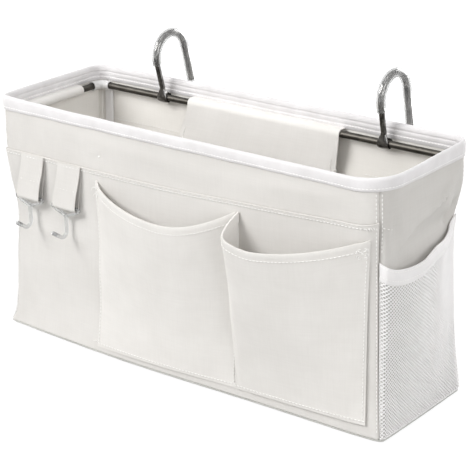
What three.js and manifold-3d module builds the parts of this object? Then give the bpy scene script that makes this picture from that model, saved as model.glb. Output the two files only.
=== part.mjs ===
// Bedside caddy: a cloth box on a bent rod frame, hung from two swinging steel hooks.
// Millimetres, +Z up. Origin at the middle of the base underside, X to the right, Y to the back.

import * as THREE from 'three';
import { mergeVertices } from 'three/addons/utils/BufferGeometryUtils.js';
import Module from 'manifold-3d';

const wasm = await Module();
wasm.setup();

// Body of the bag
const RIM_WIDTH = 400;
const RIM_DEPTH = 130;
const HEIGHT = 218;
const BASE_FLARE = 4;
const BASE_TUCK = 7;
const BASE_WIDTH = RIM_WIDTH + 2 * BASE_FLARE;
const BASE_DEPTH = RIM_DEPTH - BASE_TUCK;
const BASE_RADIUS = 5;
const RIM_RADIUS_FRONT_LEFT = 6;
const RIM_RADIUS_FRONT_RIGHT = 30;
const RIM_RADIUS_BACK_RIGHT = 14;
const RIM_RADIUS_BACK_LEFT = 16;

// The four upright seams are drawn in towards a waist between the base and the shoulder
const WAIST_FRONT_LEFT = 8;
const WAIST_FRONT_RIGHT = 3.5;
const WAIST_BACK = 7;
const WAIST_HEIGHT = 108;
const SHOULDER_DROP = 13;

// Cloth, tape and the clearances between sewn layers
const CLOTH = 1.2;
const TAPE = 1.0;
const RIM_TAPE_WIDTH = 9;
const SEAM_GAP = 0.3;
const SEAM_TAPE_WIDTH = 10;
const SEAM_TAPE_THICK = 1.6;
const SEAM_TAPE_INSET = 5;
const BOARD_THICK = 2.4;
const BOARD_INSET = 2;

// Rod frame with two moulded elbows at the left corners
const ROD = 6;
const ROD_CLEARANCE = 0.4;
const FRAME_BEND_BACK = 12;
const ELBOW_DIAMETER = 9;
const ELBOW_BEND = 7;
const ELBOW_LEG = 5;
const SOCKET_DEPTH = 5;

// Casings that carry the rods
const BACK_CASING_LEFT = -84;
const BACK_CASING_RIGHT = 78;
const BACK_CASING_BOTTOM = 62;
const FRONT_CASING_HALF = 80;
const LEFT_CASING_LENGTH = 74;
const RIGHT_CASING_HALF = 22;

// Front panel with the sewn-on pocket strip
const OVERLAY_DROP = 46;
const OVERLAY_BOTTOM = 4;
const POCKET_DROP = 6;
const POCKET_BOTTOM = 9;
const POCKET_MARGIN = 15;
const POCKET_EDGE = 13;
const POCKET_TWO_WIDTH = 122;
const POCKET_ONE_DEPTH = 19;
const POCKET_ONE_SAG = 20;
const POCKET_TWO_DEPTH = 28;
const POCKET_TWO_SAG = 18;

// Net pockets on the two ends
const NET = 0.9;
const NET_STRAND = 2;
const NET_BOTTOM = 4;
const NET_HALF = 55;
const NET_TOP_FRONT = 150;
const NET_TOP_BACK = 160;
const NET_SAG = 12;
const NET_SAG_SKEW = 0.8;
const NET_DEPTH = 13;
const NET_BAND = 12;

// Hanging hooks
const HOOK_ROD = 5;
const HOOK_LEFT_GAP = 25.5;
const HOOK_RIGHT_GAP = 41;
const HOOK_LEFT_LEAN = 15.5;
const HOOK_RIGHT_LEAN = 12;
const HOOK_STEM = 34;
const HOOK_ARCH_RADIUS = 20;
const HOOK_RETURN = 37;
const KNUCKLE_WALL = 1.3;
const KNUCKLE_WIDTH = 10;
const KNUCKLE_OPENING = 50;
const FISHTAIL_HEIGHT = 10;
const GUARD_DIAMETER = 8;
const GUARD_STEM = 14;
const GUARD_OVERHANG = 1.5;

// Sewn tabs with clear plastic utility hooks
const TAB_MARGIN = 17.5;
const TAB_SPACING = 12;
const TAB_WIDTH = 26;
const TAB_DROP = 40;
const TAB_CLOTH = 0.8;
const BAR = 2.2;
const BAR_CLEARANCE = 0.3;
const TAB_SIDE_CLEARANCE = 1.2;
const DELTA_HEIGHT = 9;
const JAY_ROD = 3.6;
const JAY_STEM = 13;
const JAY_RADIUS = 5;
const JAY_TURN = 125;
const JAY_TIP = 12;

// Facet counts
const ARC_STEPS = 3;
const LONG_STEPS = 8;
const SHORT_STEPS = 4;
const WAIST_ROWS = 6;
const ROD_SIDES = 14;
const BORE_SIDES = 16;
const BEND_STEPS = 6;
const ARCH_STEPS = 12;
const POCKET_COLUMNS = 12;
const POCKET_ROWS = 6;
const NET_COLUMNS = 7;
const NET_ROWS = 10;
const CASING_STEPS = 6;
const HANG_STEPS = 4;
const FISHTAIL_STEPS = 4;
const BASE_CORNER_STEPS = 2;
const WELD = 1e-4;

// Sizes that follow from the ones above
const CASING_INNER = ROD / 2 + ROD_CLEARANCE;
const CASING_OUTER = CASING_INNER + CLOTH;
const ROD_INSET = CLOTH + TAPE + 2 * SEAM_GAP + ELBOW_DIAMETER / 2;
const ROD_Z = HEIGHT - RIM_TAPE_WIDTH - SEAM_GAP - CASING_OUTER;
const SHOULDER_Z = HEIGHT - SHOULDER_DROP;
const WALL_BOTTOM = CLOTH + SEAM_GAP;
const WALL_TOP = HEIGHT - TAPE - SEAM_GAP;
const WALL_INNER = -(CLOTH + SEAM_GAP);
const OVERLAY_INNER = SEAM_GAP;
const OVERLAY_OUTER = OVERLAY_INNER + CLOTH;
const POCKET_SEAT = OVERLAY_OUTER + SEAM_GAP;
const OVERLAY_TOP = HEIGHT - OVERLAY_DROP;
const POCKET_TOP = OVERLAY_TOP - POCKET_DROP;
const BOARD_BOTTOM = CLOTH + SEAM_GAP;
const BOARD_TOP = BOARD_BOTTOM + BOARD_THICK;

const mix = THREE.MathUtils.lerp;
const clamp = THREE.MathUtils.clamp;
const radians = THREE.MathUtils.degToRad;
const vector = (x, y, z) => new THREE.Vector3(x, y, z);
const range = (count) => [...Array(count).keys()];

// Finishes
function finish(color, roughness, metalness = 0) {
  return new THREE.MeshStandardMaterial({ color, roughness, metalness });
}

const clothFinish = finish(0xe6e3dc, 0.92);
const tapeFinish = finish(0xf3f2f0, 0.8);
const netFinish = finish(0xf1f1ef, 0.85);
const boardFinish = finish(0xd9d6cf, 0.7);
const steelFinish = finish(0x8f9193, 0.22, 1);
const elbowFinish = finish(0xf0f0ee, 0.4);
const clearFinish = finish(0xe9ecec, 0.15);
clearFinish.transparent = true;
clearFinish.opacity = 0.45;

// Plan outline of the bag at one height; the front is plumb and the back leans in towards the base
function outlineAt(z) {
  const t = z / HEIGHT;
  const halfY = mix(BASE_DEPTH, RIM_DEPTH, t) / 2;
  return {
    halfX: mix(BASE_WIDTH, RIM_WIDTH, t) / 2,
    halfY,
    centreY: halfY - RIM_DEPTH / 2,
    frontLeft: mix(BASE_RADIUS, RIM_RADIUS_FRONT_LEFT, t * t),
    frontRight: mix(BASE_RADIUS, RIM_RADIUS_FRONT_RIGHT, t * t),
    backRight: mix(BASE_RADIUS, RIM_RADIUS_BACK_RIGHT, t * t),
    backLeft: mix(BASE_RADIUS, RIM_RADIUS_BACK_LEFT, t * t),
  };
}

// Walking round the bag anticlockwise seen from above: direction, outward side and corner radii
const SIDES = {
  front: { along: [1, 0], out: [0, -1], start: 'frontLeft', end: 'frontRight', steps: LONG_STEPS },
  right: { along: [0, 1], out: [1, 0], start: 'frontRight', end: 'backRight', steps: SHORT_STEPS },
  back: { along: [-1, 0], out: [0, 1], start: 'backRight', end: 'backLeft', steps: LONG_STEPS },
  left: { along: [0, -1], out: [-1, 0], start: 'backLeft', end: 'frontLeft', steps: SHORT_STEPS },
};

// Straight stretch of one side between its two corner arcs
function stretchOf(side, z) {
  const outline = outlineAt(z);
  const { along, start, end } = SIDES[side];
  const [half, reach] = along[0] ? [outline.halfX, outline.halfY] : [outline.halfY, outline.halfX];
  const startRadius = outline[start];
  const endRadius = outline[end];
  return { outline, reach, startRadius, endRadius, from: startRadius - half, to: half - endRadius };
}

// How far the upright seam nearest to a point is drawn in at one height
function drawIn(x, y, z) {
  const frontWaist = x < 0 ? WAIST_FRONT_LEFT : WAIST_FRONT_RIGHT;
  const waist = y > 0 ? WAIST_BACK : frontWaist;
  const below = clamp(z / WAIST_HEIGHT, 0, 1);
  const above = clamp((SHOULDER_Z - z) / (SHOULDER_Z - WAIST_HEIGHT), 0, 1);
  return waist * (Math.sin(below * Math.PI / 2) * Math.sin(above * Math.PI / 2)) ** 2;
}

// A point beside the wall: run goes round the side from its middle, offset outwards from the wall face
function wallPoint(side, run, z, offset) {
  const { outline, reach, startRadius, endRadius, from, to } = stretchOf(side, z);
  const { along, out } = SIDES[side];
  let place = run;
  let depth = reach;
  let turn = 0;
  if (run > to) {
    turn = (run - to) / endRadius;
    place = to + endRadius * Math.sin(turn);
    depth = reach - endRadius * (1 - Math.cos(turn));
  } else if (run < from) {
    turn = (run - from) / startRadius;
    place = from + startRadius * Math.sin(turn);
    depth = reach - startRadius * (1 - Math.cos(turn));
  }
  const x = along[0] * place + out[0] * depth;
  const y = along[1] * place + out[1] * depth;
  const pull = drawIn(x, y, z) * (x / outline.halfX) ** 2 * (y / outline.halfY) ** 2;
  const normalX = along[0] * Math.sin(turn) + out[0] * Math.cos(turn);
  const normalY = along[1] * Math.sin(turn) + out[1] * Math.cos(turn);
  return vector(
    x - Math.sign(x) * pull + normalX * offset,
    outline.centreY + y - Math.sign(y) * pull + normalY * offset,
    z,
  );
}

// Stations round one side from seam to seam; a seam lies at the middle of each corner arc
function sideStations(side) {
  const { steps } = SIDES[side];
  const half = Math.PI / 4;
  const startArc = range(ARC_STEPS).map((i) => (s) => s.from - s.startRadius * half * (1 - i / ARC_STEPS));
  const straight = range(steps).map((i) => (s) => mix(s.from, s.to, i / steps));
  const endArc = range(ARC_STEPS + 1).map((i) => (s) => s.to + s.endRadius * half * (i / ARC_STEPS));
  const stations = [...startArc, ...straight, ...endArc];
  return stations.map((station) => (z) => station(stretchOf(side, z)));
}

// The same stations, ending a seam gap short of the two corner seams
function panelStations(side) {
  const stations = sideStations(side);
  const first = stations[0];
  const last = stations[stations.length - 1];
  const inner = stations.slice(1, -1);
  return [(z) => first(z) + SEAM_GAP, ...inner, (z) => last(z) - SEAM_GAP];
}

// Evenly spaced stations on a side, for pieces that stop short of the corners
function evenStations(from, to, steps) {
  return range(steps + 1).map((i) => () => mix(from, to, i / steps));
}

// Heights of the rows of facets that all wall pieces share
function wallLevels(bottom, top) {
  const zones = [
    { low: 0, high: WAIST_HEIGHT, rows: WAIST_ROWS },
    { low: WAIST_HEIGHT, high: SHOULDER_Z, rows: WAIST_ROWS },
    { low: SHOULDER_Z, high: HEIGHT, rows: 1 },
  ];
  const shared = zones.flatMap(({ low, high, rows }) => range(rows).map((i) => mix(low, high, i / rows)));
  const margin = 2 * CLOTH;
  return [bottom, ...shared.filter((z) => z > bottom + margin && z < top - margin), top];
}

// Turns the faces of a closed mesh outwards where its volume comes out negative
function facingOut(positions, triangles) {
  const point = (i) => vector(positions[3 * i], positions[3 * i + 1], positions[3 * i + 2]);
  let volume = 0;
  for (let i = 0; i < triangles.length; i += 3) {
    const [a, b, c] = [point(triangles[i]), point(triangles[i + 1]), point(triangles[i + 2])];
    volume += a.dot(b.cross(c));
  }
  const ordered = volume < 0 ? [...triangles].reverse() : triangles;
  const geometry = new THREE.BufferGeometry();
  geometry.setAttribute('position', new THREE.Float32BufferAttribute(positions, 3));
  geometry.setIndex(ordered);
  return geometry;
}

// Closed sheet from sections of [inner, outer] point pairs; a loop joins its last section to its first
function sheet(sections, loop = false) {
  const rows = sections[0].length;
  const positions = sections.flat(2).flatMap((p) => [p.x, p.y, p.z]);
  const at = (i, j, skin) => 2 * ((i % sections.length) * rows + j) + skin;
  const triangles = [];
  const quad = (a, b, c, d) => triangles.push(a, b, c, a, c, d);
  const spans = loop ? sections.length : sections.length - 1;
  for (let i = 0; i < spans; i += 1) {
    for (let j = 0; j < rows - 1; j += 1) {
      quad(at(i, j, 0), at(i, j + 1, 0), at(i + 1, j + 1, 0), at(i + 1, j, 0));
      quad(at(i, j, 1), at(i + 1, j, 1), at(i + 1, j + 1, 1), at(i, j + 1, 1));
    }
    quad(at(i, 0, 0), at(i + 1, 0, 0), at(i + 1, 0, 1), at(i, 0, 1));
    quad(at(i, rows - 1, 0), at(i, rows - 1, 1), at(i + 1, rows - 1, 1), at(i + 1, rows - 1, 0));
  }
  if (!loop) {
    const end = sections.length - 1;
    for (let j = 0; j < rows - 1; j += 1) {
      quad(at(0, j, 0), at(0, j, 1), at(0, j + 1, 1), at(0, j + 1, 0));
      quad(at(end, j, 0), at(end, j + 1, 0), at(end, j + 1, 1), at(end, j, 1));
    }
  }
  return facingOut(positions, triangles);
}

// Sheet swept along a side; the profile is a list of [inner, outer] pairs of [offset, z]
function sweepAlongSide(side, stations, profile) {
  const place = (station, [offset, z]) => wallPoint(side, station(z), z, offset);
  return sheet(stations.map((station) => profile.map((pair) => pair.map((point) => place(station, point)))));
}

// Flat layer of cloth on a wall, between two offsets
function wallLayer(side, stations, bottom, top, inner, outer) {
  const profile = wallLevels(bottom, top).map((z) => [[inner, z], [outer, z]]);
  return sweepAlongSide(side, stations, profile);
}

// The two skins of a sheet at one point of a surface of (u, v), the outer set off along the normal
function skins(surface, u, v, thickness) {
  const step = 1e-3;
  const du = surface(u + step, v).sub(surface(u - step, v));
  const dv = surface(u, v + step).sub(surface(u, v - step));
  const inner = surface(u, v);
  return [inner, inner.clone().addScaledVector(du.cross(dv).normalize(), thickness)];
}

// Sheet of one thickness over a surface
function thickened(surface, columns, rows, thickness) {
  const pair = (i, j) => skins(surface, i / columns, j / rows, thickness);
  return sheet(range(columns + 1).map((i) => range(rows + 1).map((j) => pair(i, j))));
}

// Knotted net over a surface: a diamond gap in every whole mesh, closed half meshes along the edges
function netting(surface, columns, rows, thickness, strand) {
  const points = [];
  const triangles = [];
  const knots = new Map();
  const spokes = [[-1, 0], [0, -1], [1, 0], [0, 1]];
  const [lastI, lastJ] = [2 * columns, 2 * rows];
  const width = surface(0, 0.5).distanceTo(surface(1, 0.5)) / columns;
  const height = surface(0.5, 0).distanceTo(surface(0.5, 1)) / rows;
  const gapShare = 1 - strand * Math.hypot(width, height) / (width * height);
  const onNet = (i, j) => i >= 0 && i <= lastI && j >= 0 && j <= lastJ;
  const addPoint = (i, j) => points.push(...skins(surface, i / lastI, j / lastJ, thickness)) - 2;
  const face = (a, b, c) => triangles.push(a, b, c, c + 1, b + 1, a + 1);
  const edge = (a, b) => triangles.push(a, b + 1, b, a, a + 1, b + 1);
  const knot = (i, j) => {
    const key = i * (lastJ + 1) + j;
    if (!knots.has(key)) {
      knots.set(key, addPoint(i, j));
    }
    return knots.get(key);
  };
  const wholeMesh = (i, j) => {
    const outer = spokes.map(([x, y]) => knot(i + x, j + y));
    const gap = spokes.map(([x, y]) => addPoint(i + x * gapShare, j + y * gapShare));
    for (let k = 0; k < 4; k += 1) {
      const next = (k + 1) % 4;
      face(outer[k], outer[next], gap[next]);
      face(outer[k], gap[next], gap[k]);
      edge(gap[next], gap[k]);
    }
  };
  const halfMesh = (i, j, inside) => {
    const centre = knot(i, j);
    const ends = spokes.map(([x, y], k) => (inside[k] ? knot(i + x, j + y) : null));
    for (let k = 0; k < 4; k += 1) {
      const [a, b] = [ends[k], ends[(k + 1) % 4]];
      if (a !== null && b !== null) {
        face(centre, a, b);
      } else if (a !== null) {
        edge(a, centre);
      } else if (b !== null) {
        edge(centre, b);
      }
    }
  };
  for (let i = 0; i <= lastI; i += 1) {
    for (let j = i % 2; j <= lastJ; j += 2) {
      const inside = spokes.map(([x, y]) => onNet(i + x, j + y));
      if (inside.every(Boolean)) {
        wholeMesh(i, j);
      } else {
        halfMesh(i, j, inside);
      }
    }
  }
  return facingOut(points.flatMap((p) => [p.x, p.y, p.z]), triangles);
}

// Solid between closed rings of equal point counts, each ring convex
function ringLoft(rings) {
  const sides = rings[0].length;
  const centre = (ring) => ring.reduce((sum, p) => sum.add(p), vector(0, 0, 0)).divideScalar(sides);
  const last = rings.length - 1;
  const points = [...rings.flat(), centre(rings[0]), centre(rings[last])];
  const triangles = [];
  for (let j = 0; j < sides; j += 1) {
    const k = (j + 1) % sides;
    for (let i = 0; i < last; i += 1) {
      const [a, b, c, d] = [i * sides + j, i * sides + k, (i + 1) * sides + k, (i + 1) * sides + j];
      triangles.push(a, b, c, a, c, d);
    }
    triangles.push(points.length - 2, k, j, points.length - 1, last * sides + j, last * sides + k);
  }
  return facingOut(points.flatMap((p) => [p.x, p.y, p.z]), triangles);
}

// Curve of straight legs and bends; each leg or bend takes its own number of steps
class BentPath extends THREE.Curve {
  constructor(stretches) {
    super();
    this.stretches = stretches;
    this.steps = stretches.reduce((sum, stretch) => sum + stretch.steps, 0);
  }

  getPoint(t, target = new THREE.Vector3()) {
    let place = t * this.steps;
    let index = 0;
    while (index < this.stretches.length - 1 && place > this.stretches[index].steps) {
      place -= this.stretches[index].steps;
      index += 1;
    }
    const { steps, at } = this.stretches[index];
    return target.copy(at(place / steps));
  }

  getUtoTmapping(u) {
    return u;
  }
}

const leg = (from, to) => ({ steps: 1, at: (t) => from.clone().lerp(to, t) });

// Arc about a centre, from one spoke towards another a right angle away, through an angle in radians
function bend(centre, spoke, towards, radius, angle, steps) {
  const at = (t) => centre.clone()
    .addScaledVector(spoke, radius * Math.cos(t * angle))
    .addScaledVector(towards, radius * Math.sin(t * angle));
  return { steps, at };
}

const roundShape = (diameter) => new THREE.Shape().absarc(0, 0, diameter / 2, 0, 2 * Math.PI);

// Round rod or tube along a bent path
function rodAlong(stretches, diameter, bore = 0) {
  const path = new BentPath(stretches);
  const section = roundShape(diameter);
  if (bore) {
    section.holes.push(new THREE.Path().absarc(0, 0, bore / 2, 0, 2 * Math.PI));
  }
  const curveSegments = ROD_SIDES / 2;
  const settings = { steps: path.steps, extrudePath: path, curveSegments, bevelEnabled: false };
  return new THREE.ExtrudeGeometry(section, settings);
}

// Plate with a plan shape, standing on a height
function plate(shape, bottom, thickness) {
  const settings = { depth: thickness, bevelEnabled: false, curveSegments: BASE_CORNER_STEPS };
  return new THREE.ExtrudeGeometry(shape, settings).translate(0, 0, bottom);
}

// Profile drawn in (back, up) and extruded along X, centred on its width
function acrossRod(profile, width, sides) {
  const settings = { depth: width, bevelEnabled: false, curveSegments: sides / 2 };
  const geometry = new THREE.ExtrudeGeometry(profile, settings);
  geometry.translate(0, 0, -width / 2);
  geometry.rotateY(Math.PI / 2);
  geometry.rotateX(Math.PI / 2);
  return geometry;
}

function toSolid(geometry) {
  const bare = geometry.clone();
  bare.deleteAttribute('normal');
  bare.deleteAttribute('uv');
  const merged = mergeVertices(bare, WELD);
  const vertProperties = new Float32Array(merged.attributes.position.array);
  const triVerts = new Uint32Array(merged.index.array);
  return new wasm.Manifold(new wasm.Mesh({ numProp: 3, vertProperties, triVerts }));
}

function fromSolid(solid) {
  const { vertProperties, triVerts } = solid.getMesh();
  const geometry = new THREE.BufferGeometry();
  geometry.setAttribute('position', new THREE.Float32BufferAttribute(vertProperties, 3));
  geometry.setIndex([...triVerts]);
  return geometry;
}

function joined(first, ...others) {
  return fromSolid(others.reduce((sum, part) => sum.add(toSolid(part)), toSolid(first)));
}

function cutBy(first, ...others) {
  return fromSolid(others.reduce((sum, part) => sum.subtract(toSolid(part)), toSolid(first)));
}

const caddy = new THREE.Group();

function add(name, geometry, material, parent = caddy) {
  const mesh = new THREE.Mesh(geometry, material);
  mesh.name = name;
  parent.add(mesh);
  return mesh;
}

// Cloth walls, sewn at the corner seams
for (const side of Object.keys(SIDES)) {
  const wall = wallLayer(side, panelStations(side), WALL_BOTTOM, WALL_TOP, -CLOTH, 0);
  add(`${side}_panel`, wall, clothFinish);
}

// Plan shape of the base, set in from the wall foot
function baseShape(inset) {
  const { halfX, halfY, centreY } = outlineAt(0);
  const radius = BASE_RADIUS - Math.min(inset, BASE_RADIUS / 2);
  const [x, y] = [halfX - inset, halfY - inset];
  const shape = new THREE.Shape();
  shape.absarc(x - radius, centreY + y - radius, radius, 0, Math.PI / 2);
  shape.absarc(radius - x, centreY + y - radius, radius, Math.PI / 2, Math.PI);
  shape.absarc(radius - x, centreY + radius - y, radius, Math.PI, 1.5 * Math.PI);
  shape.absarc(x - radius, centreY + radius - y, radius, 1.5 * Math.PI, 2 * Math.PI);
  return shape;
}

add('bottom_panel', plate(baseShape(0), 0, CLOTH), clothFinish);
add('base_board', plate(baseShape(CLOTH + BOARD_INSET), BOARD_BOTTOM, BOARD_THICK), boardFinish);

// Folded tape over the top edge of the four walls
function rimBinding() {
  const low = HEIGHT - RIM_TAPE_WIDTH;
  const outside = SEAM_GAP;
  const inside = WALL_INNER;
  const under = HEIGHT - TAPE;
  const profile = [
    [[outside, low], [outside + TAPE, low]],
    [[outside, under], [outside + TAPE, HEIGHT]],
    [[inside, under], [inside - TAPE, HEIGHT]],
    [[inside, low], [inside - TAPE, low]],
  ];
  const sections = Object.keys(SIDES).flatMap((side) => {
    const place = (station, [offset, z]) => wallPoint(side, station(z), z, offset);
    const stations = sideStations(side).slice(0, -1);
    return stations.map((station) => profile.map((pair) => pair.map((point) => place(station, point))));
  });
  return sheet(sections, true);
}

add('rim_binding', rimBinding(), tapeFinish);

// Bound seam allowances, lying on the long walls beside each corner
function seamTape(side, atEnd) {
  const { startRadius, endRadius, from, to } = stretchOf(side, SHOULDER_Z);
  const corner = atEnd ? to + endRadius * Math.PI / 4 : from - startRadius * Math.PI / 4;
  const inwards = atEnd ? -1 : 1;
  const near = corner + inwards * SEAM_TAPE_INSET;
  const stations = evenStations(near, near + inwards * SEAM_TAPE_WIDTH, 2);
  const top = ROD_Z - ELBOW_DIAMETER / 2 - SEAM_GAP;
  return wallLayer(side, stations, BOARD_TOP + SEAM_GAP, top, WALL_INNER, WALL_INNER - SEAM_TAPE_THICK);
}

add('seam_tape_front_left', seamTape('front', false), tapeFinish);
add('seam_tape_front_right', seamTape('front', true), tapeFinish);
add('seam_tape_back_right', seamTape('back', false), tapeFinish);
add('seam_tape_back_left', seamTape('back', true), tapeFinish);

// Rod frame: one rod bent round the right end, closed at the left by a straight rod and two elbows
const rodLine = outlineAt(ROD_Z);
const frameLeft = -rodLine.halfX + ROD_INSET;
const frameRight = rodLine.halfX - ROD_INSET;
const frameFront = rodLine.centreY - rodLine.halfY + ROD_INSET;
const frameBack = rodLine.centreY + rodLine.halfY - ROD_INSET;
const frameBendFront = rodLine.frontRight - ROD_INSET;
const rodEndInset = ELBOW_BEND + ELBOW_LEG - SOCKET_DEPTH + SEAM_GAP;
const [alongX, alongY, alongZ] = [vector(1, 0, 0), vector(0, 1, 0), vector(0, 0, 1)];

function bentFrameRod() {
  const start = frameLeft + rodEndInset;
  const back = vector(frameRight - FRAME_BEND_BACK, frameBack - FRAME_BEND_BACK, ROD_Z);
  const front = vector(frameRight - frameBendFront, frameFront + frameBendFront, ROD_Z);
  const quarter = Math.PI / 2;
  const stretches = [
    leg(vector(start, frameBack, ROD_Z), vector(back.x, frameBack, ROD_Z)),
    bend(back, alongY, alongX, FRAME_BEND_BACK, quarter, BEND_STEPS),
    leg(vector(frameRight, back.y, ROD_Z), vector(frameRight, front.y, ROD_Z)),
    bend(front, alongX, alongY.clone().negate(), frameBendFront, quarter, BEND_STEPS),
    leg(vector(front.x, frameFront, ROD_Z), vector(start, frameFront, ROD_Z)),
  ];
  return rodAlong(stretches, ROD);
}

function straightFrameRod() {
  const front = vector(frameLeft, frameFront + rodEndInset, ROD_Z);
  const back = vector(frameLeft, frameBack - rodEndInset, ROD_Z);
  return rodAlong([leg(front, back)], ROD);
}

add('frame_bent_rod', bentFrameRod(), steelFinish);
add('frame_left_rod', straightFrameRod(), steelFinish);

// Moulded elbow with a blind socket in each leg; sideways is +1 for the back corner, -1 for the front
function elbow(sideways) {
  const y = sideways > 0 ? frameBack : frameFront;
  const inner = y - sideways * ELBOW_BEND;
  const inX = frameLeft + ELBOW_BEND;
  const outwards = alongY.clone().multiplyScalar(sideways);
  const legEnd = { x: inX + ELBOW_LEG, y: inner - sideways * ELBOW_LEG };
  const body = rodAlong([
    leg(vector(legEnd.x, y, ROD_Z), vector(inX, y, ROD_Z)),
    bend(vector(inX, inner, ROD_Z), outwards, alongX.clone().negate(), ELBOW_BEND, Math.PI / 2, BEND_STEPS),
    leg(vector(frameLeft, inner, ROD_Z), vector(frameLeft, legEnd.y, ROD_Z)),
  ], ELBOW_DIAMETER);
  const bore = ROD + 2 * ROD_CLEARANCE;
  const past = SOCKET_DEPTH + CLOTH;
  const socketX = new THREE.CylinderGeometry(bore / 2, bore / 2, past, BORE_SIDES);
  socketX.rotateZ(Math.PI / 2);
  socketX.translate(legEnd.x - SOCKET_DEPTH + past / 2, y, ROD_Z);
  const socketY = new THREE.CylinderGeometry(bore / 2, bore / 2, past, BORE_SIDES);
  socketY.translate(frameLeft, legEnd.y + sideways * (SOCKET_DEPTH - past / 2), ROD_Z);
  return cutBy(body, socketX, socketY);
}

add('elbow_back_left', elbow(1), elbowFinish);
add('elbow_front_left', elbow(-1), elbowFinish);

// Casing round a rod: from the wall over the rod and back to the wall, or down to a lower seam
function casingProfile(lowerSeam = null) {
  const at = (radius, angle) => [-ROD_INSET - radius * Math.cos(angle), ROD_Z + radius * Math.sin(angle)];
  const spoke = (angle) => [at(CASING_INNER, angle), at(CASING_OUTER, angle)];
  const upper = [[WALL_INNER, ROD_Z + CASING_INNER], [WALL_INNER, ROD_Z + CASING_OUTER]];
  const quarter = Math.PI / 2;
  if (lowerSeam === null) {
    const lower = [[WALL_INNER, ROD_Z - CASING_INNER], [WALL_INNER, ROD_Z - CASING_OUTER]];
    const arc = range(CASING_STEPS + 1).map((i) => spoke(mix(quarter, -quarter, i / CASING_STEPS)));
    return [upper, ...arc, lower];
  }
  const arc = range(CASING_STEPS / 2 + 1).map((i) => spoke(mix(quarter, 0, 2 * i / CASING_STEPS)));
  const hang = range(HANG_STEPS).map((i) => {
    const t = (i + 1) / HANG_STEPS;
    const offset = mix(-ROD_INSET - CASING_INNER, WALL_INNER, t);
    const z = mix(ROD_Z, lowerSeam, t);
    return [[offset, z], [offset - CLOTH, z]];
  });
  return [upper, ...arc, ...hang];
}

const backCasing = evenStations(-BACK_CASING_RIGHT, -BACK_CASING_LEFT, LONG_STEPS / 2);
const frontCasing = evenStations(-FRONT_CASING_HALF, FRONT_CASING_HALF, LONG_STEPS / 2);
const leftCasingFront = rodLine.centreY - frameFront - ELBOW_BEND - ELBOW_LEG - CLOTH;
const leftCasing = evenStations(leftCasingFront - LEFT_CASING_LENGTH, leftCasingFront, SHORT_STEPS / 2);
const rightCasing = evenStations(-RIGHT_CASING_HALF, RIGHT_CASING_HALF, SHORT_STEPS / 2);
add('back_rod_casing', sweepAlongSide('back', backCasing, casingProfile(BACK_CASING_BOTTOM)), clothFinish);
add('front_rod_casing', sweepAlongSide('front', frontCasing, casingProfile()), clothFinish);
add('left_rod_casing', sweepAlongSide('left', leftCasing, casingProfile()), clothFinish);
add('right_rod_casing', sweepAlongSide('right', rightCasing, casingProfile()), clothFinish);

// Second layer of cloth on the front, which carries the pockets and tabs
const overlay = wallLayer(
  'front', panelStations('front'), OVERLAY_BOTTOM, OVERLAY_TOP, OVERLAY_INNER, OVERLAY_OUTER,
);
add('front_overlay_panel', overlay, clothFinish);

// Sewn tab: a doubled strap that ends in a loop round the bar of a utility hook
const loopInner = Math.SQRT2 * BAR / 2 + BAR_CLEARANCE;
const loopOuter = loopInner + TAB_CLOTH;
const barLength = TAB_WIDTH + 2 * (TAB_SIDE_CLEARANCE + BAR);

function tabStrap() {
  const frontFace = loopOuter - 2 * TAB_CLOTH;
  const from = Math.acos(frontFace / loopOuter);
  const outline = new THREE.Shape();
  outline.moveTo(loopOuter, TAB_DROP);
  outline.lineTo(frontFace, TAB_DROP);
  outline.absarc(0, 0, loopOuter, from, 2 * Math.PI);
  outline.holes.push(new THREE.Path().absarc(0, 0, loopInner, 0, 2 * Math.PI));
  return acrossRod(outline, TAB_WIDTH, ROD_SIDES);
}

// Clear hook: a delta ring whose top bar lies in the loop, a stem and a jay that comes forward and up
function utilityHook() {
  const half = barLength / 2;
  const eyeHalf = half - BAR;
  const shoulder = loopOuter + BAR_CLEARANCE;
  const neck = JAY_ROD / 2;
  const delta = new THREE.Shape();
  delta.moveTo(-half, BAR / 2);
  delta.lineTo(-half, -shoulder);
  delta.lineTo(-neck, -DELTA_HEIGHT);
  delta.lineTo(neck, -DELTA_HEIGHT);
  delta.lineTo(half, -shoulder);
  delta.lineTo(half, BAR / 2);
  const eye = new THREE.Path();
  eye.moveTo(-eyeHalf, -BAR / 2);
  eye.lineTo(eyeHalf, -BAR / 2);
  eye.lineTo(eyeHalf, -shoulder);
  eye.lineTo(0, -DELTA_HEIGHT + BAR);
  eye.lineTo(-eyeHalf, -shoulder);
  delta.holes.push(eye);
  const ring = new THREE.ExtrudeGeometry(delta, { depth: BAR, bevelEnabled: false });
  ring.translate(0, 0, -BAR / 2);
  ring.rotateX(Math.PI / 2);
  const stemEnd = -DELTA_HEIGHT - JAY_STEM;
  const turn = radians(JAY_TURN);
  const centre = vector(0, -JAY_RADIUS, stemEnd);
  const round = bend(centre, alongY, alongZ.clone().negate(), JAY_RADIUS, turn, BEND_STEPS);
  const rising = vector(0, -Math.sin(turn), -Math.cos(turn));
  const jay = rodAlong([
    leg(vector(0, 0, -DELTA_HEIGHT + JAY_ROD / 2), vector(0, 0, stemEnd)),
    round,
    leg(round.at(1), round.at(1).addScaledVector(rising, JAY_TIP)),
  ], JAY_ROD);
  return joined(ring, jay);
}

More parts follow.
